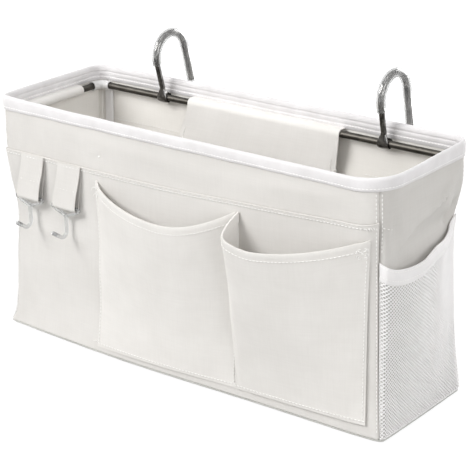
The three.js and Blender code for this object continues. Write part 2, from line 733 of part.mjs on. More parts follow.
// A tab hangs from the overlay seam, clear of the cloth behind it over its whole width and length
function tabWithHook(label, x) {
  const heights = wallLevels(OVERLAY_TOP - TAB_DROP, OVERLAY_TOP);
  const runs = [-barLength / 2, 0, barLength / 2];
  const faces = heights.flatMap((z) => runs.map((run) => wallPoint('front', x + run, z, OVERLAY_OUTER).y));
  const barY = Math.min(...faces) - SEAM_GAP - loopOuter;
  const hanger = new THREE.Group();
  hanger.position.set(x, barY, OVERLAY_TOP - TAB_DROP);
  caddy.add(hanger);
  add(`tab_${label}`, tabStrap(), clothFinish, hanger);
  add(`utility_hook_${label}`, utilityHook(), clearFinish, hanger);
}

const tabLeftX = -RIM_WIDTH / 2 + TAB_MARGIN + barLength / 2;
const tabRightX = tabLeftX + barLength + TAB_SPACING;
tabWithHook('left', tabLeftX);
tabWithHook('right', tabRightX);

// Pocket: flat along its bottom seam, bulging and sagging at its mouth, after a curve of (run, depth)
function pocketSurface(side, mouth, seat, bottom, top, sag) {
  return (u, v) => {
    const { x: run, y: depth } = mouth.getPoint(u);
    const seamRun = mix(mouth.v0.x, mouth.v3.x, u);
    const height = top(u) - sag(u);
    return wallPoint(side, mix(seamRun, run, v), mix(bottom, height, v), seat + depth * v);
  };
}

const flat = (x, y) => new THREE.Vector2(x, y);
const hanging = (amount) => (u) => amount * Math.sin(Math.PI * u);

const pocketSeamLeft = tabRightX + barLength / 2 + POCKET_MARGIN;
const pocketSeamRight = RIM_WIDTH / 2 - POCKET_EDGE;
const pocketSeamMiddle = pocketSeamRight - POCKET_TWO_WIDTH;

// Mouth curve from seam to seam; its depth is three quarters of that of its two handles
function mouthCurve(from, to, firstHandle, lastHandle, depth) {
  const handle = depth / 0.75;
  return new THREE.CubicBezierCurve(
    flat(from, 0),
    flat(mix(from, to, firstHandle), handle),
    flat(mix(from, to, lastHandle), handle),
    flat(to, 0),
  );
}

// Left pocket: an even bulge between its two seams
const pocketOneEnd = pocketSeamMiddle - SEAM_GAP - CLOTH;
const pocketOneMouth = mouthCurve(pocketSeamLeft, pocketOneEnd, 0.2, 0.8, POCKET_ONE_DEPTH);
const pocketOne = pocketSurface(
  'front', pocketOneMouth, POCKET_SEAT, POCKET_BOTTOM, () => POCKET_TOP, hanging(POCKET_ONE_SAG),
);
add('front_pocket_left', thickened(pocketOne, POCKET_COLUMNS, POCKET_ROWS, CLOTH), clothFinish);

// Right pocket: stands straight out at its left seam and runs in flat to its right seam
const pocketTwoStart = pocketSeamMiddle + SEAM_GAP + CLOTH;
const pocketTwoMouth = mouthCurve(pocketTwoStart, pocketSeamRight, 0, 0.5, POCKET_TWO_DEPTH);
const pocketTwo = pocketSurface(
  'front', pocketTwoMouth, POCKET_SEAT, POCKET_BOTTOM, () => POCKET_TOP, hanging(POCKET_TWO_SAG),
);
add('front_pocket_right', thickened(pocketTwo, POCKET_COLUMNS, POCKET_ROWS, CLOTH), clothFinish);

// Net pocket on an end wall with a plain band along its mouth; the two ends run opposite ways
function netPocket(side, frontFirst) {
  const mouth = mouthCurve(-NET_HALF, NET_HALF, 0.25, 0.75, NET_DEPTH);
  const fromFront = (u) => (frontFirst ? u : 1 - u);
  const lip = (u) => mix(NET_TOP_FRONT, NET_TOP_BACK, fromFront(u));
  const sag = (u) => NET_SAG * Math.sin(Math.PI * clamp(fromFront(u), 0, 1) ** NET_SAG_SKEW);
  const whole = pocketSurface(side, mouth, SEAM_GAP, NET_BOTTOM, lip, sag);
  const height = (u) => lip(u) - sag(u) - NET_BOTTOM;
  const bandFrom = (u) => 1 - NET_BAND / height(u);
  const netTo = (u) => bandFrom(u) - SEAM_GAP / height(u);
  return {
    net: netting((u, v) => whole(u, v * netTo(u)), NET_COLUMNS, NET_ROWS, NET, NET_STRAND),
    band: thickened((u, v) => whole(u, mix(bandFrom(u), 1, v)), 2 * NET_COLUMNS, 1, TAPE),
  };
}

const rightNet = netPocket('right', true);
add('net_pocket_right', rightNet.net, netFinish);
add('net_band_right', rightNet.band, tapeFinish);
const leftNet = netPocket('left', false);
add('net_pocket_left', leftNet.net, netFinish);
add('net_band_left', leftNet.band, tapeFinish);

// Hanging hook about its rod axis: curled knuckle, fishtail, stem, arch and return leg in the YZ plane
function hookPath(stemFrom, overhang) {
  const top = vector(0, 0, HOOK_STEM);
  const centre = vector(0, HOOK_ARCH_RADIUS, HOOK_STEM);
  const down = vector(0, 2 * HOOK_ARCH_RADIUS, HOOK_STEM);
  const tip = down.clone().addScaledVector(alongZ, -HOOK_RETURN - overhang);
  return [
    leg(vector(0, 0, stemFrom), top),
    bend(centre, alongY.clone().negate(), alongZ, HOOK_ARCH_RADIUS, Math.PI, ARCH_STEPS),
    leg(down, tip),
  ];
}

const knuckleInner = ROD / 2 + ROD_CLEARANCE;
const knuckleOuter = knuckleInner + KNUCKLE_WALL;

function hookKnuckle() {
  const gap = radians(KNUCKLE_OPENING);
  const [from, to] = [-gap, 2 * Math.PI - 2 * gap];
  const curl = new THREE.Shape();
  curl.absarc(0, 0, knuckleOuter, from, to);
  curl.absarc(0, 0, knuckleInner, to, from, true);
  return acrossRod(curl, KNUCKLE_WIDTH, BORE_SIDES);
}

// The stem flattens and widens into the knuckle strip
function fishtail() {
  const low = knuckleInner + KNUCKLE_WALL / 3;
  const ring = (t) => {
    const spread = (1 - t) ** 2;
    const halfWidth = mix(HOOK_ROD / 2, KNUCKLE_WIDTH / 2, spread);
    const halfThick = mix(HOOK_ROD / 2, KNUCKLE_WALL, spread);
    return range(ROD_SIDES).map((k) => {
      const angle = 2 * Math.PI * k / ROD_SIDES;
      return vector(halfWidth * Math.cos(angle), halfThick * Math.sin(angle), mix(low, FISHTAIL_HEIGHT, t));
    });
  };
  return ringLoft(range(FISHTAIL_STEPS + 1).map((i) => ring(i / FISHTAIL_STEPS)));
}

function hangingHook(label, x, lean) {
  const hanger = new THREE.Group();
  hanger.position.set(x, frameBack, ROD_Z);
  hanger.rotation.x = radians(lean);
  caddy.add(hanger);
  const wire = rodAlong(hookPath(FISHTAIL_HEIGHT - HOOK_ROD / 2, 0), HOOK_ROD);
  add(`hook_${label}`, joined(hookKnuckle(), fishtail(), wire), steelFinish, hanger);
  const bore = HOOK_ROD + 2 * ROD_CLEARANCE;
  const guard = rodAlong(hookPath(HOOK_STEM - GUARD_STEM, GUARD_OVERHANG), GUARD_DIAMETER, bore);
  add(`hook_${label}_guard`, guard, clearFinish, hanger);
}

hangingHook('left', BACK_CASING_LEFT - HOOK_LEFT_GAP - KNUCKLE_WIDTH / 2, HOOK_LEFT_LEAN);
hangingHook('right', BACK_CASING_RIGHT + HOOK_RIGHT_GAP + KNUCKLE_WIDTH / 2, HOOK_RIGHT_LEAN);

export default caddy;
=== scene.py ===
from math import copysign, cos, exp, pi, radians, sin

import bpy
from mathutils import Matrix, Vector
from mathutils.noise import noise


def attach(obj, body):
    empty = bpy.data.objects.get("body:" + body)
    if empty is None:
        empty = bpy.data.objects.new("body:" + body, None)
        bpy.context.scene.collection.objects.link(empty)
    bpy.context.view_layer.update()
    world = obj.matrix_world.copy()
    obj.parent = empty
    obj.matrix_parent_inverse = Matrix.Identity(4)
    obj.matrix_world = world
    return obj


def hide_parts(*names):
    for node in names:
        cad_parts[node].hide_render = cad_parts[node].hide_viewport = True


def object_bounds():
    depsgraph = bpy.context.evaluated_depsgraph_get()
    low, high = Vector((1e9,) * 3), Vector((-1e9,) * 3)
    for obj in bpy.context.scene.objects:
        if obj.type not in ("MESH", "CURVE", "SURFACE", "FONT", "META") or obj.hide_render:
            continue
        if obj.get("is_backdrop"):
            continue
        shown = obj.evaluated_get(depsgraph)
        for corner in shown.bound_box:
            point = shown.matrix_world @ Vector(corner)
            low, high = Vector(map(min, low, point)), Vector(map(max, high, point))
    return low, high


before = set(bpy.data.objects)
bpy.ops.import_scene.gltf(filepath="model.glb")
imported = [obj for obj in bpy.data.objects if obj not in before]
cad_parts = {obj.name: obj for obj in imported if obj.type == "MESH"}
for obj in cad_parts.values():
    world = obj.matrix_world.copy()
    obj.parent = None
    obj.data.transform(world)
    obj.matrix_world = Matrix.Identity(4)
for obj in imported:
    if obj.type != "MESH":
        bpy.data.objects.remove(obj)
cadLow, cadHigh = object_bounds()
bpy.ops.object.select_all(action="DESELECT")
print("frame loaded:", len(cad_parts), "solids")

mm = 0.001  # sizes are in millimetres; cut sizes of cloth and the stage are in metres
alongX, alongY, alongZ = Vector((1, 0, 0)), Vector((0, 1, 0)), Vector((0, 0, 1))


def mix(a, b, t):
    return a + (b - a) * t


def smooth(t):
    t = min(max(t, 0.0), 1.0)
    return t * t * (3 - 2 * t)


def evenly(count):  # shares from 0 to 1
    return [i / count for i in range(count + 1)]


def chordMarks(points):  # length along the line at each point
    marks = [0.0]
    for a, b in zip(points, points[1:]):
        marks.append(marks[-1] + (b - a).length)
    return marks


def splineOf(points):  # smooth curve through points, walked from 0 to 1 by chord length
    pts = [Vector(p) for p in points]
    ends = [2 * pts[0] - pts[1], *pts, 2 * pts[-1] - pts[-2]]
    marks = chordMarks(pts)

    def at(t):
        s = min(max(t, 0.0), 1.0) * marks[-1]
        k = 0
        while k < len(pts) - 2 and s > marks[k + 1]:
            k += 1
        f = (s - marks[k]) / (marks[k + 1] - marks[k])
        a, b, c, d = ends[k:k + 4]
        bend = (2 * a - 5 * b + 4 * c - d) * f**2 + (3 * b - a - 3 * c + d) * f**3
        return 0.5 * (2 * b + (c - a) * f + bend)

    return at


def levelAt(marks, place):  # smooth value between (place, value) marks
    last = len(marks) - 1
    k = 0
    while k < last - 1 and place > marks[k + 1][0]:
        k += 1

    def slope(i):
        (x0, y0), (x1, y1) = marks[max(i - 1, 0)], marks[min(i + 1, last)]
        return (y1 - y0) / (x1 - x0)

    (x0, y0), (x1, y1) = marks[k], marks[k + 1]
    t = min(max((place - x0) / (x1 - x0), 0.0), 1.0)
    bend = (x1 - x0) * (slope(k) * t * (1 - t)**2 - slope(k + 1) * t * t * (1 - t))
    return mix(y0, y1, smooth(t)) + bend


# shader groups

def addNode(tree, kind, inputs=None, **settings):
    node = tree.nodes.new("ShaderNode" + kind)
    for key, value in settings.items():
        setattr(node, key, value)
    for key, value in (inputs or {}).items():
        if isinstance(value, bpy.types.NodeSocket):
            tree.links.new(value, node.inputs[key])
        else:
            node.inputs[key].default_value = value
    return node


def math2(tree, operation, a, b=0.0):
    return addNode(tree, "Math", {0: a, 1: b}, operation=operation).outputs[0]


def cloud(tree, inputs, **settings):
    return addNode(tree, "TexNoise", inputs, **settings).outputs["Fac"]


def newGroup(name, inputs, outputs):  # every group works on a Vector
    group = bpy.data.node_groups.new(name, "ShaderNodeTree")
    group.interface.new_socket("Vector", in_out="INPUT", socket_type="NodeSocketVector")
    for label, value in inputs.items():
        socket = group.interface.new_socket(label, in_out="INPUT", socket_type="NodeSocketFloat")
        socket.default_value = value
    for label in outputs:
        group.interface.new_socket(label, in_out="OUTPUT", socket_type="NodeSocketFloat")
    given = group.nodes.new("NodeGroupInput").outputs
    return group, given, group.nodes.new("NodeGroupOutput").inputs


def makeWeave():  # plain weave: Height of the crossing threads, Slub of uneven yarn, Mottle of the tone
    values = {"Threads": 1600.0, "Seed": 0.0}
    group, given, result = newGroup("plainWeave", values, ["Height", "Slub", "Mottle"])
    axes = addNode(group, "SeparateXYZ", {0: given["Vector"]}).outputs
    across, along = (math2(group, "MULTIPLY", axes[axis], given["Threads"]) for axis in "XY")
    warp, weft = (math2(group, "SINE", math2(group, "MULTIPLY", way, pi)) for way in (across, along))
    over = math2(group, "MULTIPLY", warp, weft)
    ridge = math2(group, "MULTIPLY", math2(group, "ABSOLUTE", warp), math2(group, "ABSOLUTE", weft))
    height = math2(group, "ADD", math2(group, "MULTIPLY", over, 0.35), ridge)
    streaks = []
    for stretch in ((900.0, 45.0, 1.0), (45.0, 900.0, 1.0)):
        place = addNode(group, "Mapping", {"Vector": given["Vector"], "Scale": stretch}).outputs[0]
        yarn = {"Vector": place, "W": given["Seed"], "Scale": 1.0, "Detail": 2.0}
        streaks.append(cloud(group, yarn, noise_dimensions="4D"))
    slub = math2(group, "MULTIPLY", math2(group, "ADD", *streaks), 0.5)
    patches = {"Vector": given["Vector"], "W": given["Seed"], "Scale": 26.0}
    mottle = cloud(group, {**patches, "Detail": 3.0, "Roughness": 0.55}, noise_dimensions="4D")
    for label, value in (("Height", height), ("Slub", slub), ("Mottle", mottle)):
        group.links.new(value, result[label])
    return group


def makeRibs():  # cross ribs of woven tape, running over the width
    group, given, result = newGroup("tapeRibs", {"Ribs": 900.0}, ["Height", "Mottle"])
    across = addNode(group, "SeparateXYZ", {0: given["Vector"]}).outputs["X"]
    turn = math2(group, "MULTIPLY", math2(group, "MULTIPLY", across, given["Ribs"]), 2 * pi)
    ribs = math2(group, "MULTIPLY", math2(group, "SINE", turn), 0.5)
    patches = {"Vector": given["Vector"], "Scale": 60.0, "Detail": 3.0}
    group.links.new(ribs, result["Height"])
    group.links.new(cloud(group, patches), result["Mottle"])
    return group


def makeScuff():  # handling marks: broad smears and fine scratches
    group, given, result = newGroup("handlingScuff", {"Smears": 90.0, "Scratches": 700.0}, ["Mask", "Fine"])
    smears = {"Vector": given["Vector"], "Scale": given["Smears"], "Detail": 4.0, "Roughness": 0.6}
    scratches = {"Vector": given["Vector"], "Scale": given["Scratches"], "Detail": 2.0, "Distortion": 1.5}
    group.links.new(cloud(group, smears), result["Mask"])
    group.links.new(cloud(group, scratches), result["Fine"])
    return group


weaveGroup, ribGroup, scuffGroup = makeWeave(), makeRibs(), makeScuff()
print("shader groups ready")


# materials

def newMaterial(name, group, coordinate, values, **sockets):
    material = bpy.data.materials.new(name)
    material.use_nodes = True
    tree = material.node_tree
    shader = tree.nodes["Principled BSDF"].inputs
    for label, value in sockets.items():
        shader[label.replace("_", " ")].default_value = value
    vector = addNode(tree, "TexCoord").outputs[coordinate]
    pattern = addNode(tree, "Group", {"Vector": vector, **values}, node_tree=group).outputs
    return material, tree, shader, pattern


def shaded(tree, mask, dark, light, low=0.3, high=0.7):
    ramp = addNode(tree, "ValToRGB", {0: mask})
    for end, place, colour in zip(ramp.color_ramp.elements, (low, high), (dark, light)):
        end.position = place
        end.color = (*colour, 1)
    return ramp.outputs["Color"]


def bumped(tree, shader, height, strength, distance):
    bump = addNode(tree, "Bump", {"Height": height, "Strength": strength, "Distance": distance})
    tree.links.new(bump.outputs[0], shader["Normal"])


def clothMaterial(name, dark, light, seed):
    material, tree, shader, weave = newMaterial(
        name, weaveGroup, "UV", {"Threads": 1700.0, "Seed": seed},
        Roughness=0.9, Sheen_Weight=0.12, Specular_IOR_Level=0.25,
    )
    cloudy = math2(tree, "MULTIPLY", weave["Mottle"], 0.6)
    tone = math2(tree, "ADD", cloudy, math2(tree, "MULTIPLY", weave["Slub"], 0.4))
    tree.links.new(shaded(tree, tone, dark, light, 0.34, 0.66), shader["Base Color"])
    height = math2(tree, "ADD", weave["Height"], math2(tree, "MULTIPLY", weave["Slub"], 1.2))
    bumped(tree, shader, height, 0.35, 0.00012)
    return material


def tapeMaterial(name, dark, light, ribs):
    material, tree, shader, tape = newMaterial(
        name, ribGroup, "UV", {"Ribs": ribs}, Roughness=0.82, Sheen_Weight=0.1, Specular_IOR_Level=0.3,
    )
    tree.links.new(shaded(tree, tape["Mottle"], dark, light), shader["Base Color"])
    bumped(tree, shader, tape["Height"], 0.4, 0.00015)
    return material


def hardMaterial(name, dark, light, smears, scratches, roughLow, roughHigh, relief=0.06, **sockets):
    values = {"Smears": smears, "Scratches": scratches}
    material, tree, shader, scuff = newMaterial(name, scuffGroup, "Object", values, **sockets)
    tree.links.new(shaded(tree, scuff["Mask"], dark, light), shader["Base Color"])
    levels = {0: scuff["Mask"], 1: 0.3, 2: 0.7, 3: roughLow, 4: roughHigh}
    tree.links.new(addNode(tree, "MapRange", levels).outputs[0], shader["Roughness"])
    bumped(tree, shader, scuff["Fine"], relief, 0.0002)
    return material


canvas = clothMaterial("offWhiteCanvas", (0.745, 0.724, 0.694), (0.815, 0.795, 0.768), 1.3)
# painted light: a lighter copy of the wall canvas for the inside walls, brightened to stand in for the light
# the deep inside lacks
litInnerCanvas = clothMaterial("litInnerCanvas", (0.815, 0.788, 0.744), (0.888, 0.863, 0.820), 2.9)
# painted shade: a darker copy of the wall canvas for the front wall, darkened to stand in for shade on its
# upper band
shadedFrontCanvas = clothMaterial("shadedFrontCanvas", (0.648, 0.628, 0.600), (0.712, 0.692, 0.664), 6.1)
layerCanvas = clothMaterial("layerCanvas", (0.658, 0.638, 0.610), (0.724, 0.705, 0.678), 9.4)
pocketCanvas = clothMaterial("pocketCanvas", (0.715, 0.694, 0.664), (0.785, 0.765, 0.736), 4.7)
# painted shade: a darker copy of the wall canvas for the right end wall, darkened to stand in for the shade
# on that side
shadedEndCanvas = clothMaterial("shadedEndCanvas", (0.585, 0.566, 0.540), (0.645, 0.628, 0.602), 2.6)
# painted shade: a darker grey-green copy of the canvas for the base cloth and its seam roll, darkened to
# stand in for the shade along the bottom edges
shadedBottomCanvas = clothMaterial("shadedBaseCanvas", (0.52, 0.52, 0.49), (0.62, 0.62, 0.59), 7.9)
bindingTape = tapeMaterial("whiteBinding", (0.715, 0.698, 0.700), (0.790, 0.773, 0.778), 1100.0)
# painted light: a lighter copy of the white tape for the corner seam tapes, brightened to stand in for light
# in the shaded inside corners
litSeamTape = tapeMaterial("litSeamTape", (0.900, 0.885, 0.880), (0.960, 0.945, 0.940), 1100.0)
bandTape = tapeMaterial("netBand", (0.820, 0.804, 0.800), (0.890, 0.874, 0.872), 1100.0)
netYarn = tapeMaterial("netYarn", (0.92, 0.908, 0.905), (0.97, 0.958, 0.956), 2400.0)
thread = hardMaterial("sewingThread", (0.90, 0.89, 0.87), (0.96, 0.95, 0.935), 300.0, 2500.0, 0.6, 0.8)
steel = hardMaterial(
    "polishedSteel", (0.08, 0.078, 0.075), (0.32, 0.315, 0.307), 170.0, 1500.0, 0.06, 0.16, relief=0.3,
    Metallic=1.0,
)
rodSteel = hardMaterial(
    "drawnRod", (0.055, 0.051, 0.045), (0.105, 0.098, 0.087), 110.0, 1200.0, 0.36, 0.50, Metallic=1.0,
)
elbowPlastic = hardMaterial(
    "whiteElbow", (0.70, 0.695, 0.685), (0.77, 0.765, 0.755), 80.0, 900.0, 0.32, 0.48,
    Specular_IOR_Level=0.5,
)
clearSleeve = hardMaterial(
    "clearSleeve", (0.68, 0.68, 0.675), (0.86, 0.86, 0.855), 120.0, 240.0, 0.03, 0.12, relief=0.4,
    Transmission_Weight=0.92, IOR=1.45,
)
clearHook = hardMaterial(
    "clearHook", (0.70, 0.71, 0.71), (0.84, 0.845, 0.845), 160.0, 900.0, 0.03, 0.1,
    Transmission_Weight=0.8, IOR=1.45,
)
boardFace = hardMaterial("stiffBoard", (0.56, 0.54, 0.49), (0.66, 0.64, 0.59), 60.0, 1400.0, 0.7, 0.85)
print("materials ready")


# outline of the bag, as the solids have it

bag = {
    "rimWidth": 400, "rimDepth": 130, "height": 218, "baseWidth": 408, "baseDepth": 123, "baseRadius": 5,
    "rimRadius": {"frontLeft": 6, "frontRight": 30, "backRight": 14, "backLeft": 16},
    "drawnIn": {  # how far each upright seam is drawn in, by height
        "frontLeft": [(0, 0.6), (10, 2.2), (21, 3.3), (40, 4.6), (62, 5.2), (112, 7), (140, 3.8), (172, 0.4),
                      (205, 0), (218, 0)],
        "frontRight": [(0, 1), (37, 2.9), (97, 2.6), (150, 1), (186, 0), (218, 0)],
        "backRight": [(0, 0), (14, 1.3), (44, 4.2), (82, 6), (136, 7.4), (156, 6.4), (169, 3.6), (186, 0.5),
                      (205, 0), (218, 0)],
        "backLeft": [(0, 0), (40, 2.5), (108, 7), (160, 3), (204, 0), (218, 0)],
    },
    "earReach": 6, "earRise": 16,  # slack cloth at the front left foot
    "belly": (-60, 110, 60, 4.5),  # slack over the front of the base: run, reach, rise, height
    # rounding of the front right corner: depth at the start and at the end of a side, and its reach
    "softCorner": {"front": (0, 3.2, 28), "right": (3.2, 0, 5)},
    "softTop": 188, "softFade": 30, "softFoot": 0.4, "softRise": 40,
}
sides = {}
for name, along, out, start, end, swell, seed in (
    ("front", (1, 0), (0, -1), "frontLeft", "frontRight", 1.3, 3.1),
    ("right", (0, 1), (1, 0), "frontRight", "backRight", 1.6, 8.7),
    ("back", (-1, 0), (0, 1), "backRight", "backLeft", 1.6, 14.2),
    ("left", (0, -1), (-1, 0), "backLeft", "frontLeft", 1.6, 21.9),
):
    sides[name] = {"along": along, "out": out, "start": start, "end": end, "swell": swell, "seed": seed}


def outlineAt(z):
    t = z / bag["height"]
    halfX = mix(bag["baseWidth"], bag["rimWidth"], t) / 2
    halfY = mix(bag["baseDepth"], bag["rimDepth"], t) / 2
    line = {"halfX": halfX, "halfY": halfY, "centreY": halfY - bag["rimDepth"] / 2}
    for corner, radius in bag["rimRadius"].items():
        line[corner] = mix(bag["baseRadius"], radius, t * t)
    return line


def outOf(side):  # away from the bag
    return Vector((*sides[side]["out"], 0))


def stretchOf(side, z):  # straight stretch of a side between its corner arcs
    line = outlineAt(z)
    s = sides[side]
    half, reach = (line["halfX"], line["halfY"]) if s["along"][0] else (line["halfY"], line["halfX"])
    return line, reach, line[s["start"]], line[s["end"]], line[s["start"]] - half, half - line[s["end"]]


def seamRuns(side, z):  # the seams lie at the middle of each corner arc
    _, _, startRadius, endRadius, low, high = stretchOf(side, z)
    return low - startRadius * pi / 4, high + endRadius * pi / 4


def wallPoint(side, run, z, offset):
    line, reach, startRadius, endRadius, low, high = stretchOf(side, z)
    (ax, ay), (ox, oy) = sides[side]["along"], sides[side]["out"]
    place, depth, turn = run, reach, 0.0
    if run > high:
        turn = (run - high) / endRadius
        place, depth = high + endRadius * sin(turn), reach - endRadius * (1 - cos(turn))
    elif run < low:
        turn = (run - low) / startRadius
        place, depth = low + startRadius * sin(turn), reach - startRadius * (1 - cos(turn))
    x, y = ax * place + ox * depth, ay * place + oy * depth
    corner = ("back" if y > 0 else "front") + ("Right" if x > 0 else "Left")
    nearness = (x / line["halfX"])**2 * (y / line["halfY"])**2
    pull = levelAt(bag["drawnIn"][corner], z) * nearness
    ear = 0.0
    if corner == "frontLeft":
        ear = bag["earReach"] * max(1 - z / bag["earRise"], 0)**2 * nearness**6
    nx = ax * sin(turn) + ox * cos(turn)
    ny = ay * sin(turn) + oy * cos(turn)
    return Vector((
        x - copysign(pull, x) - ear + nx * offset,
        line["centreY"] + y - copysign(pull, y) + ny * offset,
        z,
    ))


creases = {  # slack folds: run, z, reach along, reach up, height, slant
    "front": [
        (-150, 60, 60, 26, 0.8, 0.5), (120, 198, 70, 7, 0.6, 0.1), (-60, 197, 90, 7, 0.5, -0.08),
        (-86, 184.4, 2.4, 1.7, -1.3, 0.2), (-92, 187, 5, 3, 0.7, 0.3),
    ],
    "right": [
        (16, 160, 34, 9, -4.0, 0.1), (44, 163, 7, 7, -8, 0.4), (35, 171, 5, 7, 3, 0.6),
        (-4, 187, 30, 8, 1.6, 0.3), (-36, 166, 12, 16, 1.6, 0.5), (10, 176, 26, 2.6, 1.9, 0.3),
        (28, 183, 16, 3, 2.6, 0.6), (-18, 170, 22, 3, 1.7, 0.45), (-45, 172, 5, 14, -2.4, 0.1),
    ],
    "back": [(0, 110, 120, 40, 1.2, 0.2)],
    "left": [(-18, 165, 34, 8, -2.6, 0.15), (-37, 160, 9, 10, -3.0, -0.3), (4, 186, 30, 9, 1.2, 0.25)],
}
slack = {
    "foot": 45, "top": 209, "topReach": 16,  # held at the base and at the binding
    "wide": (92, 74), "fine": (36, 46), "fineShare": 0.3,  # waves: length along and up
    "waveReach": 34, "foldReach": 10, "bellyReach": 40,  # held at the seams
}


def rumple(side, run, z):  # shared by every layer of a wall
    s = sides[side]
    low, high = seamRuns(side, z)
    seamAway = min(run - low, high - run)
    held = smooth(z / slack["foot"]) * smooth((slack["top"] - z) / slack["topReach"])
    wide = noise((run / slack["wide"][0], z / slack["wide"][1], s["seed"]))
    fine = noise((run / slack["fine"][0] + 7, z / slack["fine"][1], s["seed"] + 5))
    fold = 0.0
    for foldRun, foldZ, reach, rise, height, slant in creases[side]:
        a = (run - foldRun) / reach
        b = (z - foldZ - slant * (run - foldRun)) / rise
        fold += height * exp(-a * a - b * b)
    loose = 0.0
    if side == "front":
        middle, reach, rise, height = bag["belly"]
        loose = height * exp(-((run - middle) / reach)**2)
        loose *= smooth(1 - z / rise)
        loose *= smooth(seamAway / slack["bellyReach"])
    atStart, atEnd, reach = bag["softCorner"].get(side, (0, 0, 1))
    turned = atStart * (1 - smooth((run - low) / reach)) + atEnd * (1 - smooth((high - run) / reach))
    fade = smooth((bag["softTop"] - z) / bag["softFade"])
    turned *= fade * mix(bag["softFoot"], 1, smooth(z / bag["softRise"]))
    waves = smooth(seamAway / slack["waveReach"]) * s["swell"] * (wide + slack["fineShare"] * fine)
    return held * (waves + smooth(seamAway / slack["foldReach"]) * fold) + loose - turned


# making and finishing pieces

def deselect():
    bpy.ops.object.select_all(action="DESELECT")


def switchTo(mode):
    bpy.ops.object.mode_set(mode=mode)


def selectMesh(action):
    bpy.ops.mesh.select_all(action=action)


def link(piece):
    bpy.context.scene.collection.objects.link(piece)
    return piece


def activate(piece):
    deselect()
    piece.select_set(True)
    bpy.context.view_layer.objects.active = piece


def applied(piece, kind, **settings):
    activate(piece)
    tool = piece.modifiers.new(kind.lower(), kind)
    for key, value in settings.items():
        setattr(tool, key, value)
    bpy.ops.object.modifier_apply(modifier=tool.name)


def softEdges(piece, width, segments, angle):
    limit = radians(angle)
    applied(piece, "BEVEL", width=width * mm, segments=segments, limit_method="ANGLE", angle_limit=limit)


def editMesh(piece, *steps):  # each step is an operator with its settings, on everything selected
    activate(piece)
    switchTo("EDIT")
    selectMesh("SELECT")
    for operator, settings in steps:
        operator(**settings)
    switchTo("OBJECT")


outwards = (bpy.ops.mesh.normals_make_consistent, {"inside": False})


def meshPiece(name, points, faces):
    mesh = bpy.data.meshes.new(name)
    mesh.from_pydata(points, [], faces)
    piece = link(bpy.data.objects.new(name, mesh))
    editMesh(piece, outwards)
    return piece


def mapFromAbove(mesh):  # UV map of a flat piece
    for loop in mesh.loops:
        mesh.uv_layers.active.data[loop.index].uv = mesh.vertices[loop.vertex_index].co.xy


def dress(piece, material, body, slotName, *nodes, angle=40):
    piece.data.materials.clear()
    piece.data.materials.append(material)
    activate(piece)
    bpy.ops.object.shade_smooth_by_angle(angle=radians(angle))
    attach(piece, body)
    if nodes:
        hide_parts(*nodes)
    return piece


def named(name):
    piece = bpy.context.object
    piece.name = piece.data.name = name
    return piece


# cloth: a flat grid laid on its surface

def gridPiece(name, columns, rows):
    deselect()
    bpy.ops.mesh.primitive_grid_add(x_subdivisions=columns, y_subdivisions=rows, size=1)
    return named(name)


def settle(piece, place, flat, out):  # the UV map keeps the cut size
    mesh = piece.data
    for vert in mesh.vertices:
        vert.co = place(vert.co.x + 0.5, vert.co.y + 0.5) * mm
    for loop in mesh.uv_layers.active.data:
        loop.uv = (loop.uv.x * flat[0], loop.uv.y * flat[1])
    mesh.update()
    facing = sum((face.normal * face.area for face in mesh.polygons), Vector((0, 0, 0)))
    if facing.dot(out) < 0:
        mesh.flip_normals()


def clothSheet(name, columns, rows, place, flat, out, thick, *steps):  # steps come before the thickness
    piece = gridPiece(name, columns, rows)
    settle(piece, place, flat, out)
    if steps:
        editMesh(piece, *steps)
    applied(piece, "SOLIDIFY", thickness=thick * mm, offset=-1, use_even_offset=True)
    return piece


def roll(name, rings, closed=False):  # rolled or folded tape, from rings of points
    count = len(rings[0])
    points = [p * mm for ring in rings for p in ring]
    faces = []
    spans = len(rings) if closed else len(rings) - 1
    for i in range(spans):
        a, b = i * count, (i + 1) % len(rings) * count
        faces += [(a + k, a + (k + 1) % count, b + (k + 1) % count, b + k) for k in range(count)]
    if not closed:
        last = (len(rings) - 1) * count
        faces += [tuple(reversed(range(count))), tuple(range(last, last + count))]
    piece = meshPiece(name, points, faces)
    mesh = piece.data
    layer = mesh.uv_layers.new(name="UVMap")
    for loop in mesh.loops:
        point = mesh.vertices[loop.vertex_index].co
        layer.data[loop.index].uv = (point.x + point.y + point.z, point.x - point.y)
    return piece


# rods and mouldings: a round section pulled and swung along in edit mode

def startRound(name, radius, sideCount, place, tilt=(0, 0, 0), filled=True):
    deselect()
    bpy.ops.mesh.primitive_circle_add(
        vertices=sideCount, radius=radius * mm, fill_type="NGON" if filled else "NOTHING",
        location=Vector(place) * mm, rotation=[radians(a) for a in tilt],
    )
    piece = named(name)
    bpy.ops.object.transform_apply()
    switchTo("EDIT")
    bpy.ops.mesh.select_mode(type="VERT")
    selectMesh("SELECT")
    return piece


def pull(x, y, z):
    bpy.ops.mesh.extrude_region_move(TRANSFORM_OT_translate={"value": (x * mm, y * mm, z * mm)})


def swing(degrees, steps, centre, axis):  # spin turns the other way round from the right hand
    bpy.ops.mesh.spin(steps=steps, angle=-radians(degrees), center=Vector(centre) * mm, axis=axis)


def taper(x, y, z, centre):
    bpy.ops.transform.resize(value=(x, y, z), center_override=Vector(centre) * mm)


def endRound():
    selectMesh("SELECT")
    bpy.ops.mesh.remove_doubles(threshold=0.00001)
    bpy.ops.mesh.normals_make_consistent(inside=False)
    switchTo("OBJECT")


